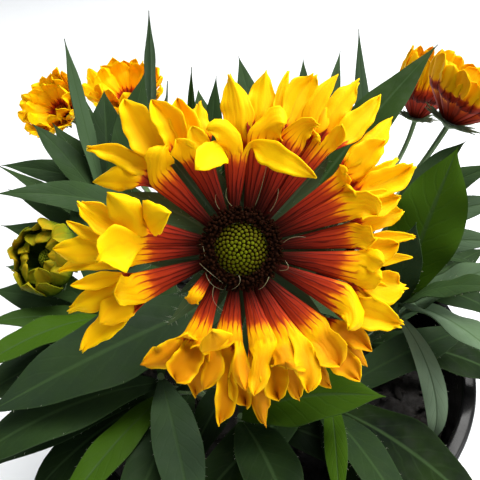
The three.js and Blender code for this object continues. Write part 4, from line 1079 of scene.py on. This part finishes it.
def trumpet(skin, root, mouth, width, deep, lobes, inner, change, rng, root_half=0.85, root_deep=0.5,
            nerves=12, painted_shade=0.0):
    """One ray: a flattened tube from `root` to `mouth` that splits into lobes. Its red runs from the distance
    `inner` from the head's axis to `change`, measured along it."""
    out = unit(mouth - root)
    side = unit(np.cross(vec(0, 0, 1), out))
    up = np.cross(out, side)
    parts = rim_parts(lobes, width)
    turns = np.concatenate([at + wide * np.arange(count) / count for _, at, wide, count in parts])
    seed = rng.uniform(0, 1)
    reach = np.linalg.norm(mouth - root)
    start = np.linalg.norm(root[:2])

    def rim(turn, t):
        half = lerp(root_half, width / 2, t**1.05)
        depth = lerp(root_deep, deep, t**0.8)
        ridge = -np.cos(turn * nerves) * min(1, 3 * t)
        fuller = np.sign(np.sin(turn)) * np.abs(np.sin(turn)) ** 0.8
        across, high = np.cos(turn) * half * (1 + 0.02 * ridge), fuller * depth + np.sin(turn) * 0.1 * ridge
        return lerp(root, mouth, t) + side * across[:, None] + up * high[:, None]

    tube = np.stack([rim(turns, t) for t in TUBE_ROWS])
    travelled = (start + reach * TUBE_ROWS - inner) / (change - inner)
    nerve = nerves / TURN
    # the tube takes the ray's painted shade as its kind
    skin.grid(tube, closed=True, along=travelled[:, None], across=turns[None] * nerve, tone=seed, kind=painted_shade)
    for lobe, at, wide, count in parts:
        turn = at + wide * np.arange(count + 1) / count
        points, gone, shade_weight = lobe_sheet(lobe, rim(turn, 1.0), mouth, out, rng)
        progress = (start + reach - inner + gone * lobe["turns"]) / (change - inner)
        if not lobe["front"] and any(other["front"] for other in lobes):
            progress = progress - 0.6 * (1 - smooth(gone / (0.4 * gone[-1])))
        # painted shade for each lobe: deep orange in its hollows, heavier on the bottom rays
        shade = (0.1 + painted_shade) * rng.uniform(0.5, 1.3)
        skin.grid(points, along=progress[:, None], across=turn[None] * nerve, tone=seed, kind=shade * shade_weight)


def lobe_of(tip, width, front, bow, rng, **given):
    """A lobe's form, with what isn't given drawn for it."""
    return {
        "tip": tip,
        "width": width,
        "front": front,
        "bow": bow,
        "ruffle": rng.uniform(0.3, 0.6) if width > 5 else 0.2,
        "crease": rng.uniform(0.1, 0.22) * rng.choice([-1.0, 1.0]),
        "cup": rng.uniform(-0.1, 0.2) if front else rng.uniform(0.05, 0.3),
        "curl": rng.uniform(-1.2, 1.4),
        "point": rng.uniform(2.4, 6.5),
        "belly": rng.uniform(1.1, 1.75),
        "neck": rng.uniform(0.55, 0.74),
        "sway": rng.uniform(-0.07, 0.07),
        "end": rng.choice([0.0, 0.0, 0.18, 0.26]),
        "free": 0.42,
        "turns": 2.4 if front else 1.0,
        **given,
    }


THROAT = 8.0  # the colours along the main bloom's rays start this far from its axis
LAYERS = (0.0, 0.8, -0.6)  # how far forward its rays stand, in turn
INWARD = 9.0  # a lobe that ends less than this beyond its mouth bends inward
FORWARD = 5.0  # one whose tip stands this far forward belongs to the front of its mouth
MOUTH_LIFT = 2.4
MOUTH_DEPTH = 0.22
RAY_ROOT_AT = 0.88 * HEAD["plate"]


def upright_lobe(mouth_angle, reach, width, z, sign, rng):
    """A short lobe that stands up at one side of a mouth which has no other in front."""
    back = rng.uniform() < 0.45
    far = reach + (rng.uniform(0.5, 2.5) if back else rng.uniform(4, 7.5))
    tip = polar(mouth_angle, far, z + rng.uniform(5.6, 7.6))
    tip = tip + polar(mouth_angle + math.pi / 2, 1) * sign * width * rng.uniform(0.2, 0.4)
    bow = vec(0, 0, 0.8) + polar(mouth_angle, 2.6 if back else 0.4)
    return lobe_of(tip, width * rng.uniform(0.6, 0.8), True, bow, rng, ruffle=0.4, end=0.0,
                   point=rng.uniform(3, 6), free=0.6, turns=3.2, curl=rng.uniform(-0.6, 0.6))


def main_rays(skin, rng):
    """The rays of the main bloom; `low` is 1 for those at its bottom: blunter, crinkled and with more painted
    shade.
    """
    middle = head_middle(1)
    for index, (turn, (mouth_turn, reach, width), change, lobes) in enumerate(MAIN_RAYS):
        layer = LAYERS[index % len(LAYERS)]
        root = polar(math.radians(turn), RAY_ROOT_AT, middle)
        mouth_angle = math.radians(mouth_turn)
        mouth = polar(mouth_angle, reach, middle + MOUTH_LIFT + layer)
        low = smooth((-math.sin(mouth_angle) - 0.3) * 1.6)
        rows = []
        ordered = sorted(lobes, key=lambda lobe: (lobe[0] - mouth_turn + 180) % 360)
        for lobe_turn, far, wide, forward in ordered:
            inward = far < reach + INWARD
            front = forward >= FORWARD or inward
            bow = vec(0, 0, 1.2 + 0.25 * max(0, forward)) + polar(mouth_angle, 4 if inward else 0)
            tip = polar(math.radians(lobe_turn), far, forward + layer * 0.6)
            blunt = {}
            if low > 0.4:
                blunt = {"end": 0.0, "point": rng.uniform(4.5, 8.0), "belly": rng.uniform(1.4, 2.2)}
            wide *= (1.15 if front else 0.98) * (1 - 0.12 * low)
            rows.append(lobe_of(tip, wide, front, bow, rng, **blunt))
        if not any(row["front"] for row in rows) and reach > 20:
            rows += [upright_lobe(mouth_angle, reach, width, middle + layer, sign, rng) for sign in (-1, 1)]
        for row in rows:
            row["crease"] *= 1 + 0.5 * low
            row["ruffle"] *= 1 + 1.3 * low
        if all(row["front"] for row in rows):
            tip = polar(mouth_angle, reach + 2, middle + 1)
            rows.append(lobe_of(tip, width, False, vec(0, 0, 0.3), rng, ruffle=0.2))
        trumpet(skin, root, mouth, width, width * MOUTH_DEPTH, rows, THROAT, change, rng, painted_shade=1.2 * low)


CUP_RAYS = 10


def small_rays(skin, bloom, rng):
    """The rays of a lesser bloom: short trumpets held up in a cup, where those of the solid are."""
    draw = random_from(bloom.seed)
    radius, cup = bloom.radius, bloom.cup
    (r0, z0, _), (r1, z1, _), (r2, z2, half) = cup["profile"]
    start = RAY_ROOT_AT * bloom.size
    for k in range(CUP_RAYS):
        angle = (k + 0.2 * (draw() - 0.5)) / CUP_RAYS * TURN
        size = radius * lerp(0.9, 1, draw())
        raised = radius * 0.1 * (draw() - 0.5)
        draw()  # the solid has two teeth, which take a draw each
        draw()
        across = polar(angle + math.pi / 2, 1)
        root = polar(angle, start, head_middle(bloom.size))
        mouth = polar(angle, size * lerp(r0, r1, cup["split"]), radius * lerp(z0, z1, cup["split"]) + raised)
        wide = radius * cup["tube"]
        lobes = []
        for place, far, high, share, front in cup["lobes"]:
            jitter = rng.uniform(-0.07, 0.07, 2)
            up = z2 * (0.9 if front else 1.0) + high + jitter[1]
            tip = polar(angle, size * r2 * far, radius * up + raised)
            tip = tip + across * radius * (place * half * 1.15 + jitter[0])
            lobes.append(lobe_of(tip, radius * share, front, polar(angle, radius * 0.1), rng,
                                 ruffle=cup["ruffle"], curl=rng.uniform(-0.6, 0.3),
                                 point=rng.uniform(*cup["point"]), end=0.0, neck=cup["neck"], side=across,
                                 turns=1.5 if front else 1.0))
        length = np.linalg.norm(mouth - root) + np.linalg.norm(polar(angle, size * r2, radius * z2) - mouth)
        trumpet(skin, root, mouth, wide, wide * 0.3, lobes, start - 0.3 * length, start + bloom.red * length,
                rng, root_half=start * 0.34, root_deep=0.4, nerves=8)


# ---------------------------------------------------------------- disc florets

# A floret's profile: heights as shares of its length, and radii as shares of its own.
OPEN_FLORET = ((0, 0.7), (0.45, 0.8), (0.8, 1.0), (1.0, 1.12), (0.93, 0.6), (0.6, 0.45))
SHUT_FLORET = ((0, 0.75), (0.5, 0.95), (0.78, 1.0), (0.93, 0.72), (1.0, 0.35), (0.97, 0.1))
FLORET_COLUMNS = 8
MOUTH_ROW = 3  # the row of an open floret that carries its teeth


def floret(skin, base, axis, length, radius, tone, rng, opened):
    """A small tube that swells to its top, with a toothed mouth or a shut, faceted bud."""
    a = unit(np.cross(axis, vec(0, 0, 1) if abs(axis[2]) < 0.8 else vec(1, 0, 0)))
    b = np.cross(axis, a)
    shape = OPEN_FLORET if opened else SHUT_FLORET
    turn = round_turn(FLORET_COLUMNS) + rng.uniform(0, 6)
    ring = a * np.cos(turn)[:, None] + b * np.sin(turn)[:, None]
    rows = []
    for row, (high, wide) in enumerate(shape):
        teeth = 0.12 * np.cos(turn * FLORET_COLUMNS / 2) * (opened and row == MOUTH_ROW)
        rows.append(base + ring * (radius * wide) + axis * (length * (high + teeth))[:, None])
    along = np.array([high for high, _ in shape])
    skin.capped(np.stack(rows), along=along[:, None], tone=tone)


def dome(skin, count, radius, low, high, size, rng, tones):
    """Shut florets in the golden turn over a dome, `high` in its middle and `low` at its edge."""
    for k in range(count):
        share = math.sqrt((k + 0.5) / count)
        angle = k * GOLDEN_TURN
        z = high - (high - low) * share**2.2
        slope = (high - low) * 2.2 * share**1.2 / radius
        axis = unit(polar(angle, slope, 1.0))
        base = polar(angle, radius * share, z) - axis * size
        tone = lerp(*tones, share**1.5) + rng.uniform(-0.12, 0.12)
        wide = size * rng.uniform(0.9, 1.05)
        floret(skin, base, axis, size * lerp(2.0, 1.7, share), wide, tone, rng, False)


# The rows of the main disc's outer florets: how many, their reach and height, and how far they lean out.
RING_ROWS = ((54, 7.5, 3.2, -0.3), (58, 8.1, 3.6, -0.1), (62, 8.7, 3.5, 0.2), (66, 9.2, 2.9, 0.5),
             (68, 9.6, 2.0, 0.9))
RING_FLORET = 0.4
BRIGHT_TIPS = ((-7.3, 8.0), (10.0, -1.6), (10.5, -3.0), (9.4, 4.2))  # where a few bright open florets stand


def main_disc():
    rng = np.random.default_rng(21)
    centre, ring = Skin(), Skin()
    core = [(0.3, 4.6), (2.5, 4.4), (4.4, 3.7), (5.8, 2.6), (6.6, 1.4), (5.4, -0.15), (0.3, -0.15)]
    centre.capped(lathe(core, 24), tone=0.0)
    dome(centre, 150, 7.1, 2.3, 5.3, 0.5, rng, (1.0, -0.1))
    torus = [(6.9, 0), (9.1, 0), (9.6, 1.3), (9.4, 2.7), (8.6, 3.2), (7.6, 3.0), (7.0, 2.4), (6.9, 0)]
    ring.grid(lathe(torus, 36), closed=True, tone=0.0)
    for count, reach, height, lean in RING_ROWS:
        for k in range(count):
            angle = (k + rng.uniform(-0.25, 0.25)) / count * TURN
            axis = unit(polar(angle, lean + rng.uniform(-0.15, 0.15), 1.0))
            axis = unit(axis + rng.normal(0, 0.13, 3))
            floret(ring, polar(angle, reach, height - 1.1), axis, rng.uniform(1.4, 2.3),
                   RING_FLORET * rng.uniform(0.9, 1.1), rng.uniform(0, 0.6), rng, rng.uniform() < 0.15)
    for x, y in BRIGHT_TIPS:
        axis = unit(vec(x, y, 9) + rng.normal(0, 1, 3))
        floret(ring, vec(x, y, 2.4) * vec(0.93, 0.93, 1), axis, 1.7, 0.3, 6.0, rng, True)
    return centre, ring


# Pale curled threads that lie over the edge of the disc, each as the points of a curve in the head's frame.
THREADS = [
    ((-11.2, 0.6, 1.5), (-9.6, 2.6, 4.0), (-9.2, -1.8, 3.6)),
    ((-10.6, -3.6, 2.5), (-8.4, -5.6, 4.4), (-4.6, -8.6, 3.4)),
    ((-9.0, -6.0, 2.6), (-8.2, -9.6, 4.0), (-4.4, -10.4, 2.6)),
    ((-6.9, -9.4, 3.0), (-8.2, -13.4, 3.6), (-4.6, -15.8, 2.0)),
    ((-0.6, -6.6, 4.2), (0.6, -8.8, 5.0), (-2.4, -10.2, 3.6)),
    ((7.0, -7.0, 3.8), (6.0, -9.6, 4.6), (4.4, -10.2, 3.4)),
    ((11.2, -3.0, 2.6), (13.2, -5.6, 3.6), (9.8, -5.4, 3.0)),
    ((-2.4, 11.0, 1.6), (-4.6, 13.0, 3.0), (-3.6, 15.6, 2.0)),
    ((-5.6, 10.2, 1.6), (-7.0, 12.0, 3.0), (-6.4, 14.0, 1.8)),
    ((3.6, 11.2, 1.6), (5.2, 15.0, 3.0), (6.4, 21.0, 2.0)),
    ((7.4, 9.6, 1.8), (9.6, 12.6, 3.2), (9.4, 15.4, 2.4)),
    ((10.8, 1.6, 2.0), (12.6, 3.6, 3.4), (16.4, 3.0, 2.4)),
]


THREAD_RADIUS = 0.075


def thread(skin, points):
    t = np.linspace(0, 1, 12)
    line = bezier(points, t)
    along = tangents(line)
    a = unit(np.cross(along, vec(0.13, 0.2, 0.97)))
    taper = THREAD_RADIUS * (1 - 0.55 * t)
    skin.capped(rings(line, a, np.cross(along, a), round_turn(5), taper[:, None]))


# ---------------------------------------------------------------- the plant's pieces


def foliage_pieces(stem, greens, hairs):
    make_piece(f"{stem.name}_foliage", greens, [LEAF, STEM, BRACT], [stem.node])
    make_piece(f"{stem.name}_hairs", hairs, [HAIR])


for bloom in BLOOMS:
    head, young = heads[bloom.name], bloom.cup is CLOSED_CUP
    rng = np.random.default_rng(bloom.seed)
    rays, greens, hairs = Skin(), Skin(), Skin()
    if bloom.cup:
        small_rays(rays, bloom, rng)
        reach, droop = bloom.bracts
        involucre(greens, hairs, head, bloom.size, rng, SMALL_BRACTS, bloom.radius * reach, droop)
    else:
        main_rays(rays, rng)
        involucre(greens, hairs, head, bloom.size, rng, **MAIN_BRACTS)
        leafy_bracts(greens, hairs, head, rng)
    make_piece(f"{bloom.name}_petals", rays, [YOUNG_PETAL if young else PETAL],
               [f"{bloom.name}_rays"],
               weld=0.01, thick=0.28, sharp=75, place=head.world)
    leafy_stem(greens, hairs, stems[bloom.name], rng)
    foliage_pieces(stems[bloom.name], greens, hairs)

centre, ring = main_disc()
threads = Skin()
for points in THREADS:
    thread(threads, points)
place = heads["main_bloom"].world
make_piece("main_bloom_dome", centre, [INNER_FLORET], ["main_bloom_disc_centre"], place=place)
make_piece("main_bloom_ring", ring, [OUTER_FLORET], ["main_bloom_disc_ring"], place=place)
make_piece("main_bloom_threads", threads, [THREAD], place=place)

# The disc of a lesser bloom: how tall its core is, and its tone; then its florets' number, top and tones.
GROWN_DISC = {"tall": 1.0, "tone": 0.0, "count": 70, "top": 5.3, "tones": (1.0, 0.0)}
YOUNG_DISC = {"tall": 2.4, "tone": 0.9, "count": 130, "top": 13.0, "tones": (1.0, 0.5)}

for bloom in BLOOMS[1:]:
    rng = np.random.default_rng(bloom.seed + 500)
    disc, size, young = Skin(), bloom.size, bloom.cup is CLOSED_CUP
    form = YOUNG_DISC if young else GROWN_DISC
    tall = form["tall"]
    core = [(0.3, 5.2 * tall * size), (3.8 * size, 4.6 * tall * size), (7.2 * size, 3.0 * tall * size),
            (9.0 * size, 1.6 * size), (8.6 * size, -0.15), (0.3, -0.15)]
    disc.capped(lathe(core, 20), tone=form["tone"], along=0.5)
    dome(disc, form["count"], 8.8 * size, 1.6 * size, form["top"] * size, 0.72 * size, rng, form["tones"])
    material = LIT_YOUNG_FLORET if young else ORANGE_FLORET if bloom.cup is OPEN_CUP else OUTER_FLORET
    make_piece(f"{bloom.name}_florets", disc, [material],
               [f"{bloom.name}_disc"], place=heads[bloom.name].world)

# The rounds of bracts on the tight bud: the heights of their feet and tips, their bulge and their width.
BUD_ROUNDS = ((-1.6, 0.9, 1.02, 4.6), (-1.8, 0.55, 1.05, 4.4), (-2.0, 0.2, 1.1, 4.0))
BUD_BRACTS = 8


def shut_head(greens, hairs, head, r, rng):
    """An egg-shaped bud of radius r, wrapped in its bracts."""
    egg = [(0.3, -3), (0.5 * r, -2), (0.86 * r, 0.6), (0.8 * r, 0.5 * r), (0.5 * r, 0.92 * r),
           (0.15 * r, 1.1 * r)]
    greens.capped(head.world(lathe(egg, 20)), slot=1)
    for row, (low, high, share, wide) in enumerate(BUD_ROUNDS):
        for k in range(BUD_BRACTS):
            angle = (k + 0.5 * (row % 2)) / BUD_BRACTS * TURN
            points = [polar(angle, 0.45 * r, low), polar(angle, share * r * 1.12, lerp(low, high * r, 0.45)),
                      polar(angle, share * r * (0.25 + 0.25 * row), high * r + 1)]
            bract(greens, hairs, head, points, wide, rng, 10)


for stem in stems.values():
    if stem.kind == "bloom":
        continue
    rng = np.random.default_rng(stem.seed + 900)
    greens, hairs = Skin(), Skin()
    leafy_stem(greens, hairs, stem, rng, hairy=260)
    if stem.kind == "bud":
        shut_head(greens, hairs, heads[stem.name], TIGHT_BUD.radius, rng)
    foliage_pieces(stem, greens, hairs)

# ---------------------------------------------------------------- pot and soil

UNDER = RIM_RADIUS - LIP["width"]  # outside of the wall, just under the lip
INSIDE = UNDER - POT_WALL
LIP_Z = RIM_Z - LIP["height"]
POT_COLUMNS = 144
HOLE_PATCH = 9.0  # how far the patch of floor round a drain hole reaches from its middle
HOLE_ROUNDING = 0.3


def pot_profile():
    """Outside up, over the lip, and down the inside. Each corner has a radius, a height and a rounding."""
    corners = [
        (DRAIN["at"] + HOLE_PATCH, 0.0, 0), (BASE_RADIUS, 0.0, 2.0), (UNDER - 1, LIP_Z - 4, 1.5),
        (UNDER, LIP_Z, 0.8), (RIM_RADIUS, LIP_Z, 1.3), (RIM_RADIUS, RIM_Z, 1.7), (INSIDE, RIM_Z, 1.3),
        (INSIDE, LIP_Z - 2, 1.5), (BASE_RADIUS - POT_WALL, POT_FLOOR, 1.5),
        (DRAIN["at"] + HOLE_PATCH, POT_FLOOR, 0),
    ]
    rows = [corners[0][:2]]
    for before, here, after in zip(corners, corners[1:], corners[2:]):
        point = vec(*here[:2])
        into, away = unit(vec(*before[:2]) - point), unit(vec(*after[:2]) - point)
        curve = bezier([point + into * here[2], point, point + away * here[2]], np.linspace(0, 1, 6))
        rows.extend(map(tuple, curve))
    rows.append(corners[-1][:2])
    return rows


def hole_patch(skin, angle):
    """The floor round one drain hole: a ring of faces from its sector's edge to the hole and through it."""
    side = np.linspace(-1, 1, POT_COLUMNS // DRAIN["count"] + 1)[:-1]
    one = np.ones(len(side))
    x, y = np.concatenate([one, -side, -one, side]), np.concatenate([side, one, -side, -one])
    reach, turn = DRAIN["at"] + HOLE_PATCH * x, angle + math.pi / DRAIN["count"] * y
    border = np.stack([reach * np.cos(turn), reach * np.sin(turn)], -1)
    round_it = np.arctan2(y, x) + angle
    circle = np.stack([np.cos(round_it), np.sin(round_it)], -1)
    middle = polar(angle, DRAIN["at"])[:2]
    wide, narrow = middle + circle * (DRAIN["radius"] + HOLE_ROUNDING), middle + circle * DRAIN["radius"]
    rows = ((border, 0), (wide, 0), (narrow, HOLE_ROUNDING),
            (narrow, POT_FLOOR - HOLE_ROUNDING), (wide, POT_FLOOR), (border, POT_FLOOR))
    rows = [np.concatenate([row, np.full((len(row), 1), z)], -1) for row, z in rows]
    skin.grid(np.stack(rows), closed=True)


pot_skin = Skin()
pot_skin.grid(lathe(pot_profile(), POT_COLUMNS), closed=True)
for z in (0.0, POT_FLOOR):
    pot_skin.grid(lathe([(0.0, z), (DRAIN["at"] - HOLE_PATCH, z)], POT_COLUMNS), closed=True)
for k in range(DRAIN["count"]):
    hole_patch(pot_skin, k / DRAIN["count"] * TURN)
make_piece("pot_shell", pot_skin, [pot_material()], ["pot"], weld=0.01, sharp=40)

SOIL_COLUMNS = 160
SOIL_WAVES = 16
SOIL_CRUMBS = 520
PERLITE = 0.05  # the share of crumbs that are white grains
BARK = (3.4, 1.7, 0.8)
CRUMB = ((0.25, -1), (0.8, -0.75), (1.0, 0), (0.75, 0.7), (0.2, 1))


def inside_at(z):
    return lerp(BASE_RADIUS - POT_WALL, INSIDE, (z - POT_FLOOR) / (LIP_Z - 2 - POT_FLOOR))


def soil_body(skin, edge, rng):
    """The mix itself: a lumpy top, and sides that follow the inside of the pot."""
    reaches = np.array([0.004, *np.linspace(0.03, 0.985, 46), 1.0]) * edge
    turn = round_turn(SOIL_COLUMNS)
    x, y = reaches[:, None] * np.cos(turn), reaches[:, None] * np.sin(turn)
    heights, pitches, ways, phases = (rng.uniform(*ends, SOIL_WAVES)
                                      for ends in ((0.1, 0.4), (0.15, 1.2), (0, 6.3), (0, 6)))
    lumps = sum(a * np.sin(x * f * math.cos(d) + y * f * math.sin(d) + p)
                for a, f, d, p in zip(heights, pitches, ways, phases))
    top = np.stack([x, y, SOIL_Z - 0.3 + lumps * 0.8 + rng.normal(0, 0.12, x.shape)], -1)
    low = POT_FLOOR + RUNNING_GAP
    walls = [(edge, SOIL_Z - 3), (inside_at(low) - RUNNING_GAP - 0.5, low), (0.4, low)]
    skin.capped(np.concatenate([top, lathe(walls, SOIL_COLUMNS)]), tone=0.0)


def crumb(skin, edge, rng):
    """A loose piece of bark, or now and then a white grain, on the soil."""
    reach = edge * 0.96 * math.sqrt(rng.uniform())
    centre = polar(rng.uniform(0, TURN), reach, SOIL_Z + rng.uniform(0.2, 1.2))
    white = rng.uniform() < PERLITE
    size = rng.uniform(0.5, 1.1, 3) if white else rng.uniform(0.5, 1.0, 3) * vec(*BARK)
    along = unit(rng.normal(0, 1, 3) * vec(1, 1, 0.25))
    side = unit(np.cross(vec(0, 0, 1), along))
    up = np.cross(along, side)
    ring = lathe(CRUMB, 6)
    ring += rng.normal(0, 0.08, ring.shape)
    local = ring[..., 2:] * along * size[0] + ring[..., :1] * side * size[1] + ring[..., 1:2] * up * size[2]
    skin.capped(centre + local, tone=2.0 if white else rng.uniform(0.4, 1.0))


soil_skin = Skin()
rng = np.random.default_rng(7)
soil_edge = inside_at(SOIL_Z) - RUNNING_GAP - 0.6
soil_body(soil_skin, soil_edge, rng)
for _ in range(SOIL_CRUMBS):
    crumb(soil_skin, soil_edge, rng)
make_piece("soil_mix", soil_skin, [soil_material()], ["soil"], sharp=40)

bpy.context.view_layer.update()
